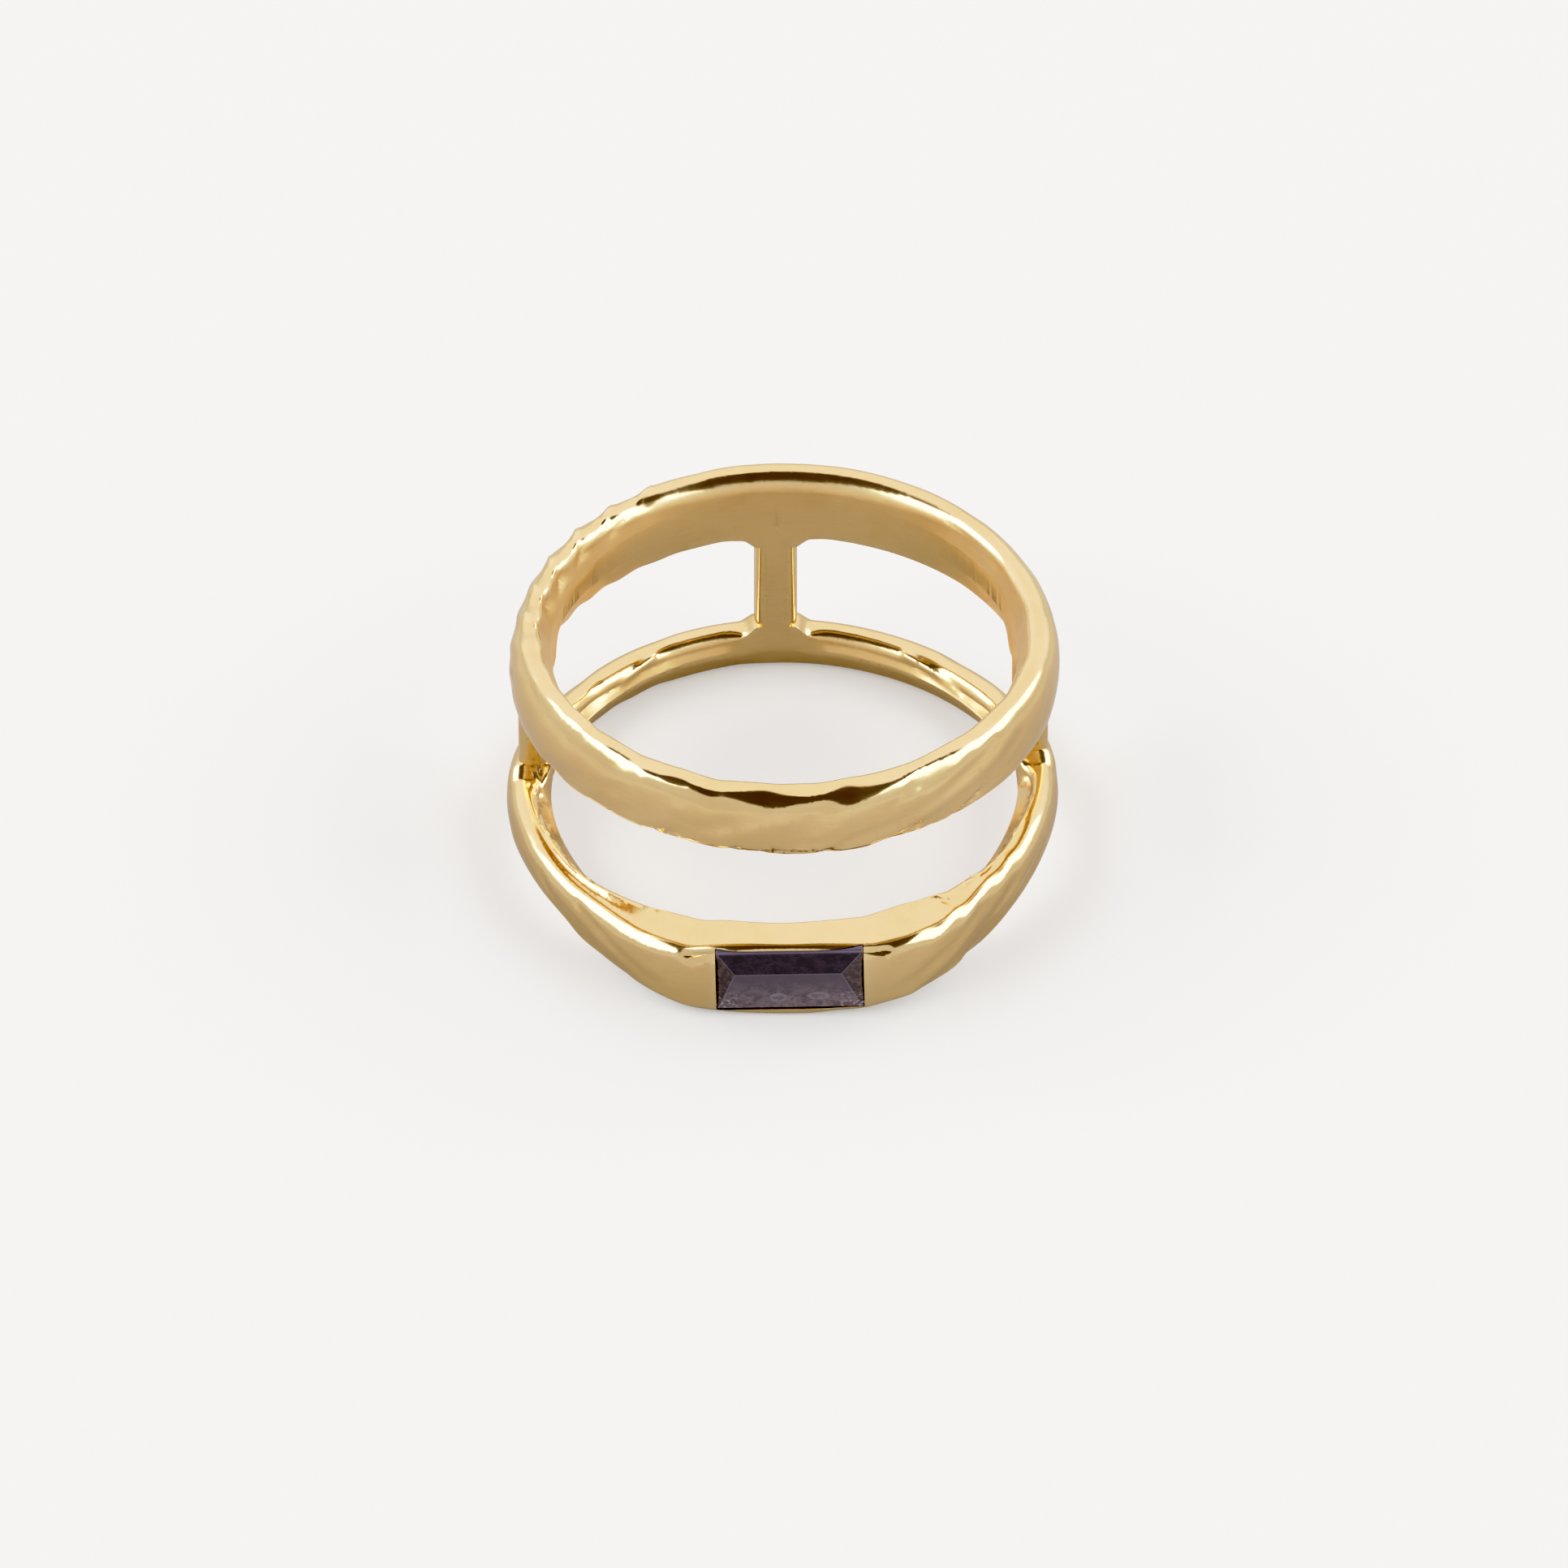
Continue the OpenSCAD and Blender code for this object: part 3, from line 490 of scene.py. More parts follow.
def band_spots(table, shoulder, flutes, land_part):
    """The band's points before its relief, their angles from the front and their rise."""
    rows = section_rows()
    here = SECTION_ANGLES
    bottom, top, outer, crease, inner_soft, inner_rise = (
        read(table, name, here) for name in BAND_COLUMNS[1:]
    )
    t80, t40, t12, under_r = (read(shoulder, name, here) for name in SHOULDER_COLUMNS[1:])
    out, down = shoulder_curve(t80, t40, t12, np.degrees(np.arctan2(inner_rise, RISING_W)))
    crease_low = crease + LOWER_CREASE_STEP
    crease_top = crease + flutes_at(flutes, "crease step", here)
    near, lift = near_bars(here, CREASE_EASE), LIFT * near_bars(here, LIFT_EASE)
    roll_top, roll_low = inner_soft * ROLL_DROP, LOWER_ROLL + 0 * here
    # the bars stand on the lower band's top and hang from the upper band's bottom
    if table is LOWER_BAND:
        top = top + lift
        crease_top = crease_top + (BORE_R + WALL_CLEAR - crease_top) * near
        roll_top = roll_top * (1 - near)
    else:
        bottom = bottom - lift
        crease_low = crease_low + (BORE_R + WALL_CLEAR - crease_low) * near
        roll_low = roll_low * (1 - near)
    face_top, face_low = top - down[-1], bottom + LOWER_EDGE_UP * under_r
    half = (face_top - face_low) / 2
    front = np.exp(-((here / FRONT_SPAN) ** 4)) if table is LOWER_BAND else 0 * here
    crown = CROWN - CROWN_LESS_AT_FRONT * front
    edge_rho = outer - crown * half
    top_rho = edge_rho - out[-1]
    soft = np.minimum(inner_soft, top_rho - crease_top - LEAST_FLAT)
    middle = (bottom + top) / 2
    edge_facing = math.radians(EDGE_FACING)
    turn = np.radians(here)
    spots = np.zeros((SECTIONS, len(rows), 3))
    for j, (part, x) in enumerate(rows):
        if part == "under":
            a = math.radians(180 - 90 * x)
            rho = crease_low + (edge_rho - LOWER_EDGE_IN * under_r - crease_low) * (1 + math.cos(a))
            z = bottom + roll_low * (1 - math.sin(a))
        elif part == "bottom corner":
            a = math.radians(90 - (90 - EDGE_FACING) * x)
            rho = edge_rho - under_r * (math.cos(edge_facing) - math.cos(a))
            z = face_low - under_r * (math.sin(a) - math.sin(edge_facing))
        elif part == "face":
            rho = outer - crown * half * (2 * x - 1) ** 2
            z = face_low + (face_top - face_low) * x
        elif part == "shoulder":
            k = int(round(x * SHOULDER_STEPS))
            rho, z = top_rho + out[k], top - down[k]
        elif part == "flat":
            rho, z = top_rho + (crease_top + soft - top_rho) * x, top + inner_rise * x
        elif part == "roll":
            a = math.radians(90 + 90 * x)
            rho, z = crease_top + soft * (1 + math.cos(a)), top + inner_rise - roll_top * (1 - math.sin(a))
        elif part == "upper wall":
            rho = np.maximum(crease_top + (BORE_R - crease_top) * x, BORE_R)
            z = (top + inner_rise - roll_top) * (1 - x) + (middle + land_part * (top - bottom)) * x
        else:
            rho = np.maximum(crease_low + (BORE_R - crease_low) * x, BORE_R)
            z = (bottom + roll_low) * (1 - x) + (middle - land_part * (top - bottom)) * x
        spots[:, j] = np.stack([rho * np.sin(turn), -rho * np.cos(turn), z], axis=1)
    rise = (spots[..., 2] - bottom[:, None]) / (top - bottom)[:, None]
    return spots, np.repeat(here[:, None], len(rows), axis=1), rise


def arc_from_top(spots):
    """Distance of each point along its section from the top line: outwards and down the outer
    face it is positive, inwards and down the inner wall it is negative."""
    top_row = [part for part, _ in section_rows()].index("flat") - 1
    rho, z = np.hypot(spots[..., 0], spots[..., 1]), spots[..., 2]
    step = np.hypot(np.diff(rho, axis=1), np.diff(z, axis=1))
    along = np.concatenate([np.zeros((len(rho), 1)), np.cumsum(step, axis=1)], axis=1)
    return along[:, top_row:top_row + 1] - along


def normals_of(spots):
    along = np.roll(spots, -1, 0) - np.roll(spots, 1, 0)
    across = np.roll(spots, -1, 1) - np.roll(spots, 1, 1)
    n = np.cross(along, across)
    n /= np.linalg.norm(n, axis=2, keepdims=True)
    return n


def strokes_at(strokes, place, arc):
    """Height of the relief: each stroke is a groove or, where it is positive, a ridge."""
    height = np.zeros_like(place)
    for start, arc_start, end, arc_end, wide, high in strokes:
        a, b = np.radians(wrap(place - start)) * STROKE_R, arc - arc_start
        length_a, length_b = math.radians(wrap(end - start)) * STROKE_R, arc_end - arc_start
        length = math.hypot(length_a, length_b)
        along = (a * length_a + b * length_b) / length
        off = (a * length_b - b * length_a) / length / wide
        fading = STROKE_END * wide
        ends = np.clip((along + wide) / fading, 0, 1) * np.clip((length + wide - along) / fading, 0, 1)
        height += high * smooth(ends) * np.where(np.abs(off) < 1, (1 - off**2) ** 2, 0)
    return height


def band(name, table, shoulder, flutes, land_part, strokes):
    """A ring spun from a round section, whose sections are then moved to the band's shape."""
    count = len(section_rows())
    deselect()
    bpy.ops.mesh.primitive_circle_add(vertices=count, radius=0.5, rotation=(math.pi / 2, 0, 0))
    piece = bpy.context.object
    piece.name = piece.data.name = name
    bpy.ops.object.mode_set(mode="EDIT")
    bpy.ops.mesh.select_all(action="SELECT")
    bpy.ops.transform.translate(value=(BORE_R, 0, 0))
    bpy.ops.object.mode_set(mode="OBJECT")
    bpy.ops.object.transform_apply()
    apply(
        piece, "SCREW", axis="Z", steps=SECTIONS, render_steps=SECTIONS,
        use_merge_vertices=True, merge_threshold=1e-4,
    )
    outward(piece)
    x, y, z = points_of(piece.data).T
    turn = np.degrees(np.arctan2(y, x))
    tilt = np.degrees(np.arctan2(z, np.hypot(x, y) - BORE_R))
    column = np.rint(turn * SECTIONS / 360).astype(int) % SECTIONS
    row = np.rint(tilt * count / 360).astype(int) % count
    spots, place, rise = band_spots(table, shoulder, flutes, land_part)
    rim = (2 * rise - 1) ** 2
    leaning = place + FLUTE_LEAN * (1 - rise)
    relief = strokes_at(strokes, place, arc_from_top(spots))
    relief -= rim * flutes_at(flutes, "rim depth", leaning)
    relief -= (1 - rim) * flutes_at(flutes, "face depth", leaning)
    off_wall = np.hypot(spots[..., 0], spots[..., 1]) - BORE_R
    relief *= smooth(np.clip((off_wall - RELIEF_START) / RELIEF_FADE, 0, 1))
    spots = spots + normals_of(spots) * relief[..., None]
    piece.data.vertices.foreach_set("co", spots[column, row].reshape(-1))
    piece.data.update()
    return piece


# Bars
def bar(angle):
    """A rounded bar that spreads into a fillet where it meets each band."""
    foot = read(LOWER_BAND, "top", np.array([wrap(angle)]))[0] - FOOT_SINK
    head = read(UPPER_BAND, "bottom", np.array([wrap(angle)]))[0] + HEAD_SINK
    quarter = np.radians(np.arange(0, 91, 11.25))
    rising, closing = BAR_FILLET * (1 - np.cos(quarter)), BAR_FILLET * (1 - np.sin(quarter))
    height = np.r_[foot - FOOT_ROOT, foot + rising, head - closing, head + HEAD_ROOT]
    spread = np.r_[BAR_FILLET, closing, rising, BAR_FILLET]
    deselect()
    bpy.ops.mesh.primitive_circle_add(vertices=48, radius=1, fill_type="NGON")
    piece = bpy.context.object
    piece.name = "bar"
    bpy.ops.object.mode_set(mode="EDIT")
    bpy.ops.mesh.select_all(action="SELECT")
    for _ in height[1:]:
        bpy.ops.mesh.extrude_region_move(TRANSFORM_OT_translate={"value": (0, 0, 1)})
    bpy.ops.object.mode_set(mode="OBJECT")
    co = points_of(piece.data)
    level = np.rint(co[:, 2]).astype(int)
    turn = np.arctan2(co[:, 1], co[:, 0])
    across = np.sign(np.cos(turn)) * np.abs(np.cos(turn)) ** BAR_SQUARING
    out = np.sign(np.sin(turn)) * np.abs(np.sin(turn)) ** BAR_SQUARING
    narrow = 1 - BAR_TAPER * (1 - out) / 2
    co[:, 0] = across * (BAR_W / 2 + spread[level]) * narrow
    co[:, 1] = -(BORE_R + BAR_DEPTH / 2 + out * BAR_DEPTH / 2)
    co[:, 2] = height[level]
    piece.data.vertices.foreach_set("co", co.reshape(-1))
    piece.data.transform(Matrix.Rotation(math.radians(angle), 4, "Z"))
    outward(piece)
    return piece


# Stone and its seat
def step_cut(name, gap, front):
    """The stone from its table back to its keel. With a gap it is the seat's cutter."""
    bevel = 0 if gap else CROWN_BEVEL
    keel = STONE_W / 2 - STONE_H / 2
    wide, high = STONE_W / 2 + gap, STONE_H / 2 + gap
    girdle_end = CROWN_BEVEL + GIRDLE
    inset_w, inset_h = (STONE_W / 2 - keel) * PAVILION_INSET, (STONE_H / 2 - KEEL_HALF) * PAVILION_INSET
    steps = [
        # depth, half width, half height
        (front, wide - bevel, high - bevel),
        (front + bevel, wide, high),
        (girdle_end, wide, high),
        (girdle_end + PAVILION_STEP, wide - inset_w, high - inset_h),
        (STONE_DEPTH + gap, keel + gap, KEEL_HALF + gap),
    ]
    if gap:
        steps.pop(1)
    deselect()
    bpy.ops.mesh.primitive_plane_add(size=2)
    piece = bpy.context.object
    piece.name = piece.data.name = name
    bpy.ops.object.mode_set(mode="EDIT")
    bpy.ops.mesh.select_all(action="SELECT")
    bpy.ops.transform.resize(value=(steps[0][1], steps[0][2], 1))
    bpy.ops.transform.translate(value=(0, 0, steps[0][0]))
    for before, after in zip(steps, steps[1:]):
        bpy.ops.mesh.extrude_region_move(TRANSFORM_OT_translate={"value": (0, 0, after[0] - before[0])})
        bpy.ops.transform.resize(value=(after[1] / before[1], after[2] / before[2], 1))
    bpy.ops.object.mode_set(mode="OBJECT")
    upright = Matrix(((1, 0, 0, 0), (0, 0, 1, 0), (0, 1, 0, 0), (0, 0, 0, 1)))
    piece.data.transform(upright)
    outward(piece)
    return piece


def front_map(piece):
    """Lays a map on the stone as seen from its front: 0 to 1 along its width and its height."""
    chart = piece.data.uv_layers.new(name="front")
    for loop in piece.data.loops:
        co = piece.data.vertices[loop.vertex_index].co
        chart.data[loop.index].uv = (co.x / STONE_W + 0.5, co.z / STONE_H + 0.5)


def edge_map(piece):
    """Keeps how much each point of the metal stands out, from 0 in hollows to 1 on edges, and
    how far it faces the finger."""
    shortest, passes = 6e-5, 6
    mesh = piece.data
    co = points_of(mesh)
    n = np.zeros(len(mesh.vertices) * 3)
    mesh.vertices.foreach_get("normal", n)
    n = n.reshape(-1, 3)
    ends = np.zeros(len(mesh.edges) * 2, int)
    mesh.edges.foreach_get("vertices", ends)
    a, b = ends.reshape(-1, 2).T
    length = np.maximum(np.linalg.norm(co[b] - co[a], axis=1), shortest)
    bend = np.einsum("ij,ij->i", n[b] - n[a], co[b] - co[a]) / length**2 * MM
    count = np.bincount(a, minlength=len(co)) + np.bincount(b, minlength=len(co))
    out = (np.bincount(a, bend, len(co)) + np.bincount(b, bend, len(co))) / count
    for _ in range(passes):
        out = (np.bincount(a, out[b], len(co)) + np.bincount(b, out[a], len(co))) / count
    centre = np.array(LAID @ Vector((0, 0, 0))) * MM
    away = co[:, :2] - centre[:2]
    inward = -np.einsum("ij,ij->i", n[:, :2], away) / np.linalg.norm(away, axis=1)
    for name, value in (("edges", 0.5 + 0.35 * out), ("inside", (inward - 0.5) / 0.4)):
        kept = mesh.attributes.new(name, "FLOAT", "POINT")
        kept.data.foreach_set("value", np.clip(value, 0, 1).astype(np.float32))


def joined_ring():
    """Both bands and the bars as one piece of metal, with the stone's seat cut in its front."""
    upper = band("upper_band", UPPER_BAND, UPPER_SHOULDER, UPPER_FLUTES, UPPER_LAND, UPPER_STROKES)
    piece = band("ring", LOWER_BAND, LOWER_SHOULDER, LOWER_FLUTES, LOWER_LAND, LOWER_STROKES)
    outward(upper)
    outward(piece)
    seat = step_cut("seat", STONE_GAP, -SEAT_REACH)
    seat.data.transform(STONE_PLACE)
    apply(piece, "BOOLEAN", operation="DIFFERENCE", object=seat, solver="MANIFOLD")
    bpy.data.objects.remove(seat)
    for other in [upper] + [bar(angle) for angle in BAR_ANGLES]:
        apply(piece, "BOOLEAN", operation="UNION", object=other, solver="MANIFOLD")
        bpy.data.objects.remove(other)
    bake_place(piece)
    outward(piece, 1e-7)
    bpy.ops.object.shade_smooth_by_angle(angle=math.radians(32))
    edge_map(piece)
    return piece


def set_stone():
    piece = step_cut("baguette", 0, 0)
    apply(piece, "BEVEL", width=0.018, segments=2, limit_method="ANGLE", angle_limit=math.radians(8))
    front_map(piece)
    bake_place(piece, STONE_PLACE)
    outward(piece, 1e-7)
    return piece


# Materials
def material(name):
    m = bpy.data.materials.new(name)
    m.use_nodes = True
    tree = m.node_tree
    return m, tree, tree.nodes["Principled BSDF"]


def set_in(node, **values):
    for name, value in values.items():
        node.inputs[name.replace("_", " ")].default_value = value
    return node


def calculate(tree, how, a, b=0.0, c=0.0):
    n = tree.nodes.new("ShaderNodeMath")
    n.operation = how
    for socket, value in zip(n.inputs, (a, b, c)):
        if isinstance(value, (int, float)):
            socket.default_value = value
        else:
            tree.links.new(value, socket)
    return n.outputs[0]


def sum_of(tree, *values):
    total = values[0]
    for value in values[1:]:
        total = calculate(tree, "ADD", total, value)
    return total


def span(tree, value, low, high, new_low=0.0, new_high=1.0):
    """Turns values between low and high softly into values between two new ones."""
    n = tree.nodes.new("ShaderNodeMapRange")
    n.interpolation_type = "SMOOTHSTEP"
    tree.links.new(value, n.inputs["Value"])
    set_in(n, From_Min=low, From_Max=high, To_Min=new_low, To_Max=new_high)
    return n.outputs["Result"]


def blend(tree, factor, low, high):
    n = tree.nodes.new("ShaderNodeMix")
    n.data_type = "RGBA"
    tree.links.new(factor, n.inputs["Factor"])
    for socket, value in ((n.inputs["A"], low), (n.inputs["B"], high)):
        if isinstance(value, tuple):
            socket.default_value = value + (1,)
        else:
            tree.links.new(value, socket)
    return n.outputs["Result"]


def noise(tree, place, **values):
    n = set_in(tree.nodes.new("ShaderNodeTexNoise"), **values)
    tree.links.new(place, n.inputs["Vector"])
    return n


def stretched(tree, place, scale, rotation=(0, 0, 0)):
    n = tree.nodes.new("ShaderNodeMapping")
    tree.links.new(place, n.inputs["Vector"])
    set_in(n, Scale=scale, Rotation=rotation)
    return n.outputs["Vector"]


def bumped(tree, skin, height, distance):
    n = set_in(tree.nodes.new("ShaderNodeBump"), Strength=1.0, Distance=distance)
    tree.links.new(height, n.inputs["Height"])
    tree.links.new(n.outputs["Normal"], skin.inputs["Normal"])


def stored(tree, name):
    n = tree.nodes.new("ShaderNodeAttribute")
    n.attribute_name = name
    return n.outputs["Fac"]


def polish_marks():
    """Marks that hand polishing leaves on metal and on stone: slow waves and fine, short lines."""
    group = bpy.data.node_groups.new("polish_marks", "ShaderNodeTree")
    sockets = group.interface
    sockets.new_socket("Place", in_out="INPUT", socket_type="NodeSocketVector")
    for name, value in (("Waves per metre", 500.0), ("Wave height", 1.0), ("Line height", 0.1)):
        sockets.new_socket(name, in_out="INPUT", socket_type="NodeSocketFloat").default_value = value
    for name in ("Height", "Haze"):
        sockets.new_socket(name, in_out="OUTPUT", socket_type="NodeSocketFloat")
    given = group.nodes.new("NodeGroupInput").outputs
    result = group.nodes.new("NodeGroupOutput").inputs
    waves = noise(group, given["Place"], Detail=2.0, Roughness=0.45)
    group.links.new(given["Waves per metre"], waves.inputs["Scale"])
    brushed = stretched(group, given["Place"], (1, 1, 9), (0.5, 0.3, 0.7))
    lines = noise(group, brushed, Scale=1400.0, Detail=3.0, Roughness=0.6).outputs["Fac"]
    cloud = noise(group, given["Place"], Scale=260.0, Detail=3.0, Roughness=0.55).outputs["Fac"]
    high = calculate(group, "MULTIPLY", waves.outputs["Fac"], given["Wave height"])
    high = calculate(group, "MULTIPLY_ADD", lines, given["Line height"], high)
    haze = calculate(group, "MULTIPLY_ADD", lines, 0.35, calculate(group, "MULTIPLY", cloud, 0.65))
    group.links.new(high, result["Height"])
    group.links.new(haze, result["Haze"])
    return group


def polished(tree, marks, **values):
    """Lays the polish marks on a piece, in the piece's own coordinates."""
    node = tree.nodes.new("ShaderNodeGroup")
    node.node_tree = marks
    tree.links.new(tree.nodes.new("ShaderNodeTexCoord").outputs["Object"], node.inputs["Place"])
    return set_in(node, **values).outputs


def gold(marks):
    """Cast and hand-polished gold: raised edges paler with a painted highlight, hollows darker with painted
    shade and also rougher, and the inside rougher.
    """
    m, tree, skin = material("polished_gold")
    polish = polished(tree, marks, Waves_per_metre=420.0, Wave_height=1.0, Line_height=0.05)
    haze, stands_out = polish["Haze"], stored(tree, "edges")
    colour = blend(tree, span(tree, haze, 0.35, 0.65), GOLD_WARM, GOLD_PALE)
    # painted shade darkens the hollows; a painted highlight makes the raised edges paler
    colour = blend(tree, span(tree, stands_out, 0.42, 0.12, 0.0, 0.55), colour, GOLD_PAINTED_SHADE)
    colour = blend(tree, span(tree, stands_out, 0.62, 0.95, 0.0, 0.5), colour, GOLD_PAINTED_HIGHLIGHT)
    tree.links.new(colour, skin.inputs["Base Color"])
    rough = sum_of(
        tree, span(tree, haze, 0.3, 0.7, 0.10, 0.17), span(tree, stands_out, 0.42, 0.12, 0.0, 0.12),
        span(tree, stored(tree, "inside"), 0.0, 1.0, 0.0, 0.22),
    )
    tree.links.new(rough, skin.inputs["Roughness"])
    skin.inputs["Metallic"].default_value = 1
    bumped(tree, skin, polish["Height"], 0.00003)
    return m


def facets(tree, u, v):
    """Height over the table of each facet's plane behind it, of which the lowest is seen: the end
    facets, the upper one and the lower one. The upper and lower one meet at a keel."""
    left = calculate(tree, "DIVIDE", u, LEFT_FACET_W)
    right = calculate(tree, "DIVIDE", calculate(tree, "SUBTRACT", 1.0, u), RIGHT_FACET_W)
    upper = calculate(tree, "DIVIDE", calculate(tree, "SUBTRACT", 1.0, v), UPPER_FACET_H)
    lower = calculate(tree, "DIVIDE", v, 1 - UPPER_FACET_H)
    return calculate(tree, "MINIMUM", left, right), upper, lower


def with_inclusions(tree, colour, u, v, ends, grain):
    """Adds two oval inclusions, and painted glints in the lower corners."""
    ragged = calculate(tree, "SUBTRACT", grain, 0.5)
    for across, up, half_wide, half_high in INCLUSIONS.tolist():
        a = calculate(tree, "DIVIDE", calculate(tree, "SUBTRACT", u, across), half_wide)
        b = calculate(tree, "DIVIDE", calculate(tree, "SUBTRACT", v, up), half_high)
        off = calculate(tree, "ADD", calculate(tree, "MULTIPLY", a, a), calculate(tree, "MULTIPLY", b, b))
        off = calculate(tree, "MULTIPLY_ADD", ragged, 1.6, off)
        inner, outer = span(tree, off, 0.1, 0.7, 0.1, 0.4), span(tree, off, 0.8, 1.5, 1.0, 0.0)
        lens = calculate(tree, "MULTIPLY", inner, outer)
        colour = blend(tree, lens, colour, INCLUSION)
    # painted glints in the lower corners
    corner = calculate(tree, "MULTIPLY", span(tree, v, 0.4, 0.05), span(tree, ends, 1.6, 0.4))
    glint = calculate(tree, "MULTIPLY", corner, span(tree, grain, 0.54, 0.64, 0.0, 0.6))
    return blend(tree, glint, colour, PAINTED_GLINT)


def violet(marks):
    """The baguette seen from its front, with its inner light and shade painted in: the upper facet behind
    its table is painted dark, and the lower one is painted lighter, as if it passes more light, and shows
    inclusions."""
    m, tree, skin = material("violet_stone")
    chart = tree.nodes.new("ShaderNodeUVMap")
    chart.uv_map = "front"
    parts = tree.nodes.new("ShaderNodeSeparateXYZ")
    tree.links.new(chart.outputs["UV"], parts.inputs["Vector"])
    u, v = parts.outputs["X"], parts.outputs["Y"]
    ends, upper, lower = facets(tree, u, v)
    long_side = calculate(tree, "MINIMUM", upper, lower)
    end_over_long = calculate(tree, "SUBTRACT", long_side, ends)
    upper_over_lower = calculate(tree, "SUBTRACT", upper, lower)
    at_end = span(tree, end_over_long, -0.03, 0.03)
    below = span(tree, upper_over_lower, -0.05, 0.05)

    wide = stretched(tree, chart.outputs["UV"], (1.6, 1, 1))
    wisps = noise(tree, wide, Scale=7.0, Detail=5.0, Roughness=0.62, Distortion=0.8).outputs["Fac"]
    grain = noise(tree, wide, Scale=26.0, Detail=3.0, Roughness=0.6).outputs["Fac"]
    cloudy = calculate(tree, "MULTIPLY_ADD", grain, 0.35, calculate(tree, "MULTIPLY", wisps, 0.65))

    # painted shade on the upper facet, and painted light on the lower one, which is painted darker high up
    deep = blend(tree, span(tree, cloudy, 0.4, 0.62), UPPER_FACET_SHADE_CLEAR, UPPER_FACET_SHADE_CLOUDY)
    lit = blend(tree, span(tree, cloudy, 0.38, 0.64), LOWER_FACET_LIT_CLEAR, LOWER_FACET_LIT_CLOUDY)
    lit = blend(tree, span(tree, v, 0.62, 0.0, 0.0, 0.7), LOWER_FACET_SHADE_HIGH, lit)
    # end facets painted in shade, the right one a little lighter
    end = blend(tree, span(tree, u, 0.45, 0.55), LEFT_FACET_SHADE, RIGHT_FACET_SHADE)
    end = blend(tree, span(tree, cloudy, 0.45, 0.62), end, END_FACET_SHADE_CLOUDY)
    colour = blend(tree, at_end, blend(tree, below, deep, lit), end)
    colour = with_inclusions(tree, colour, u, v, ends, grain)

    # painted highlights: thin light lines where facets meet, and the pale line along the top edge
    joint = span(tree, calculate(tree, "ABSOLUTE", end_over_long), 0.0, 0.05, 0.35, 0.0)
    keel = span(tree, calculate(tree, "ABSOLUTE", upper_over_lower), 0.0, 0.06, 0.3, 0.0)
    keel = calculate(tree, "MULTIPLY", keel, calculate(tree, "SUBTRACT", 1.0, at_end))
    edge_start, edge_end = span(tree, v, 0.955, 0.975, 0.0, 0.6), span(tree, v, 0.985, 1.0, 1.0, 0.4)
    edge = calculate(tree, "MULTIPLY", edge_start, edge_end)
    shine = calculate(tree, "MAXIMUM", calculate(tree, "MAXIMUM", joint, keel), edge)
    tree.links.new(blend(tree, shine, colour, FACET_JOINT_HIGHLIGHT), skin.inputs["Base Color"])

    polish = polished(tree, marks, Waves_per_metre=300.0, Wave_height=0.4, Line_height=0.02)
    tree.links.new(span(tree, polish["Haze"], 0.3, 0.7, 0.04, 0.10), skin.inputs["Roughness"])
    skin.inputs["IOR"].default_value = 1.6
    bumped(tree, skin, polish["Height"], 0.00001)
    return m


# Floor, light and camera
def pale_floor():
    """A large sheet of pale paper, which the gold mirrors as a darker card with painted shade near the
    ring.
    """
    deselect()
    bpy.ops.mesh.primitive_plane_add(size=4)
    floor = bpy.context.object
    floor.name = "floor"
    paper, tree, skin = material("pale_paper")
    set_in(skin, Base_Color=PAPER, Emission_Color=PAPER_GLOW, Emission_Strength=0.3, Roughness=0.9)
    set_in(skin, Specular_IOR_Level=0.1)
    away = tree.nodes.new("ShaderNodeVectorMath")
    away.operation = "LENGTH"
    tree.links.new(tree.nodes.new("ShaderNodeTexCoord").outputs["Object"], away.inputs[0])
    card = tree.nodes.new("ShaderNodeBsdfDiffuse")
    # painted shade: the mirrored card is darker near the ring
    far = span(tree, away.outputs["Value"], NEAR_REACH, FAR_REACH)
    tree.links.new(blend(tree, far, MIRRORED_SHADE_NEAR, MIRRORED_FAR), card.inputs["Color"])
    swap = tree.nodes.new("ShaderNodeMixShader")
    path = tree.nodes.new("ShaderNodeLightPath")
    tree.links.new(path.outputs["Is Glossy Ray"], swap.inputs["Fac"])
    tree.links.new(skin.outputs[0], swap.inputs[1])
    tree.links.new(card.outputs[0], swap.inputs[2])
    tree.links.new(swap.outputs[0], tree.nodes["Material Output"].inputs["Surface"])
    floor.data.materials.append(paper)


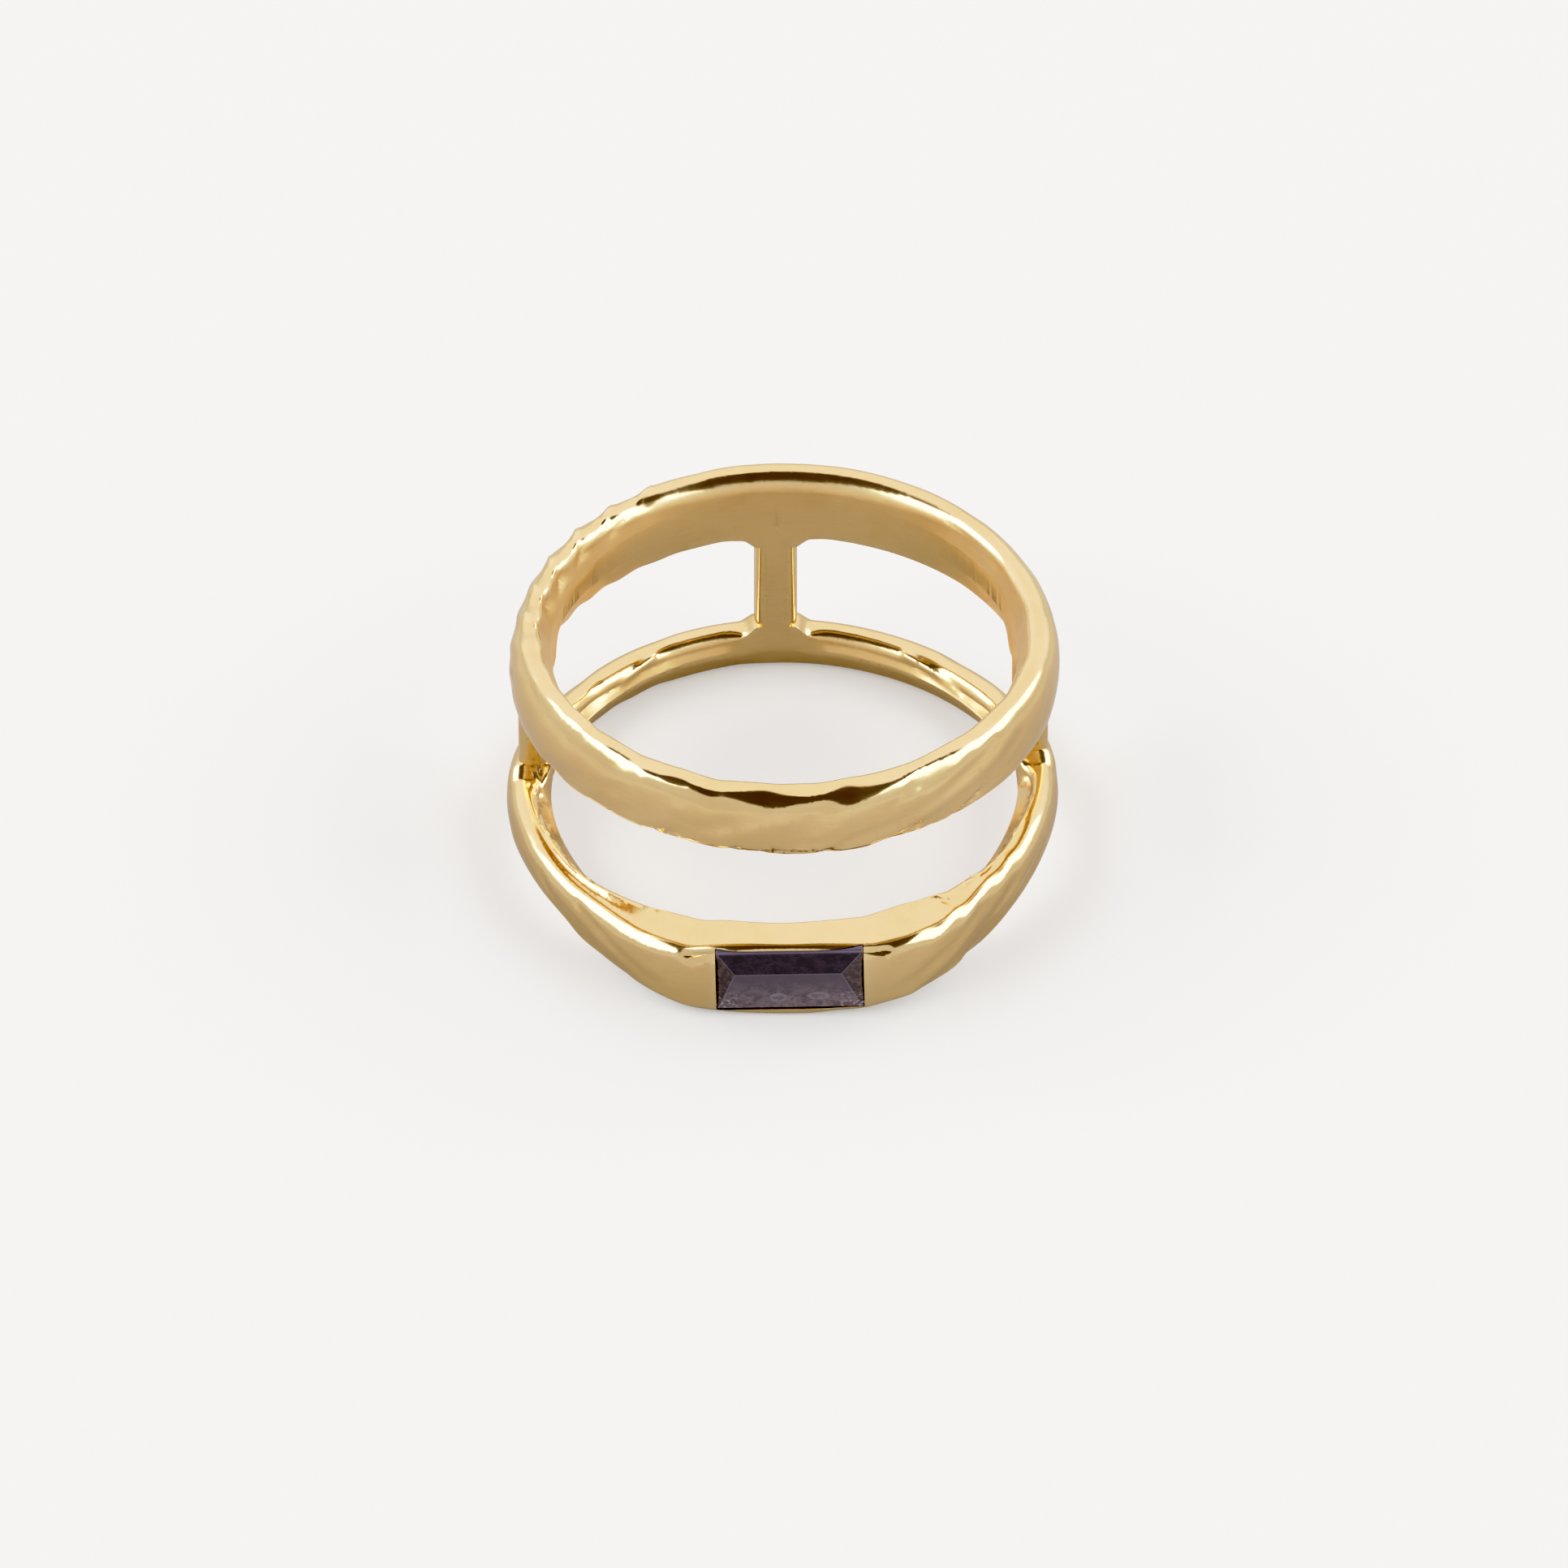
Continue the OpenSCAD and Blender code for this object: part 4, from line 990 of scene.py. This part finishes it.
class Sky:
    """Builds the studio round the ring as brightness by direction."""

    def __init__(self):
        world = bpy.data.worlds.new("studio")
        bpy.context.scene.world = world
        world.use_nodes = True
        self.tree = world.node_tree
        self.tree.nodes.clear()
        self.way = self.tree.nodes.new("ShaderNodeTexCoord").outputs["Generated"]

    def toward(self, azimuth, elevation):
        """How far the direction points to a place: azimuth 0 is the front, 90 the right."""
        a, e = math.radians(azimuth), math.radians(elevation)
        n = self.tree.nodes.new("ShaderNodeVectorMath")
        n.operation = "DOT_PRODUCT"
        self.tree.links.new(self.way, n.inputs[0])
        n.inputs[1].default_value = (math.sin(a) * math.cos(e), -math.cos(a) * math.cos(e), math.sin(e))
        return n.outputs["Value"]

    def patch(self, azimuth, elevation, inner, outer):
        """1 within the inner angle of a place and 0 beyond the outer angle."""
        near = self.toward(azimuth, elevation)
        return span(self.tree, near, math.cos(math.radians(outer)), math.cos(math.radians(inner)))

    def side(self, offset, ahead, half):
        """1 within half the box's size to both sides of its middle, with a soft edge."""
        ahead = calculate(self.tree, "MAXIMUM", ahead, 0.001)
        slant = calculate(self.tree, "DIVIDE", calculate(self.tree, "ABSOLUTE", offset), ahead)
        return span(self.tree, slant, math.tan(math.radians(half + BOX_SOFT)), math.tan(math.radians(half)))

    def box(self, azimuth, elevation, half_wide, half_high):
        """A soft-edged rectangle: its middle, and half its width and height in degrees."""
        ahead = self.toward(azimuth, elevation)
        across = self.side(self.toward(azimuth + 90, 0), ahead, half_wide)
        up = self.side(self.toward(azimuth, elevation + 90), ahead, half_high)
        return calculate(self.tree, "MULTIPLY", across, up)

    def behind(self):
        """1 behind the ring and above the floor, and 0 in front and low down."""
        back = span(self.tree, self.toward(180, 0), -0.1, 0.5)
        return calculate(self.tree, "MULTIPLY", back, span(self.tree, self.toward(0, 90), 0.1, 0.4))

    def finish(self, colour):
        shade = self.tree.nodes.new("ShaderNodeBackground")
        self.tree.links.new(colour, shade.inputs["Color"])
        output = self.tree.nodes.new("ShaderNodeOutputWorld")
        self.tree.links.new(shade.outputs[0], output.inputs["Surface"])


def studio():
    sky = Sky()
    glow = blend(sky.tree, sky.behind(), GLOW, GLOW_BEHIND)
    glow = blend(sky.tree, sky.patch(*DARK_PATCH), glow, DARK)
    glow = blend(sky.tree, sky.box(*LEFT_BOX), glow, LEFT_LIGHT)
    glow = blend(sky.tree, sky.box(*RIGHT_BOX), glow, RIGHT_LIGHT)
    sky.finish(glow)


def camera_in_place():
    back = Vector((0, -math.cos(CAMERA_ELEVATION), math.sin(CAMERA_ELEVATION)))
    bpy.ops.object.camera_add(location=TARGET + back * CAMERA_FAR)
    camera = bpy.context.object
    camera.rotation_mode = "QUATERNION"
    camera.rotation_quaternion = (-back).to_track_quat("-Z", "Y")
    camera.data.sensor_width = SENSOR_W
    camera.data.lens = SENSOR_W * CAMERA_FAR / PICTURE_W
    camera.data.clip_start = 0.01
    camera.data.clip_end = 20
    bpy.context.scene.camera = camera


def film():
    """The photograph's contrast: deep shadows and soft highlights, from light to shown light."""
    look = bpy.context.scene.view_settings
    look.view_transform = "Standard"
    look.use_curve_mapping = True
    mapping = look.curve_mapping
    mapping.white_level = (WHITE_LEVEL,) * 3
    for light, shown in FILM_CURVE:
        mapping.curves[3].points.new(light / WHITE_LEVEL, shown)
    mapping.update()


ring = joined_ring()
stone = set_stone()
marks = polish_marks()
for piece, skin, node, slot in (
    (ring, gold(marks), "ring_body", "gold"),
    (stone, violet(marks), "stone", "stone"),
):
    piece.data.materials.clear()
    piece.data.materials.append(skin)
    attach(piece, "root")
    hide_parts(node)
pale_floor()
studio()
camera_in_place()
film()
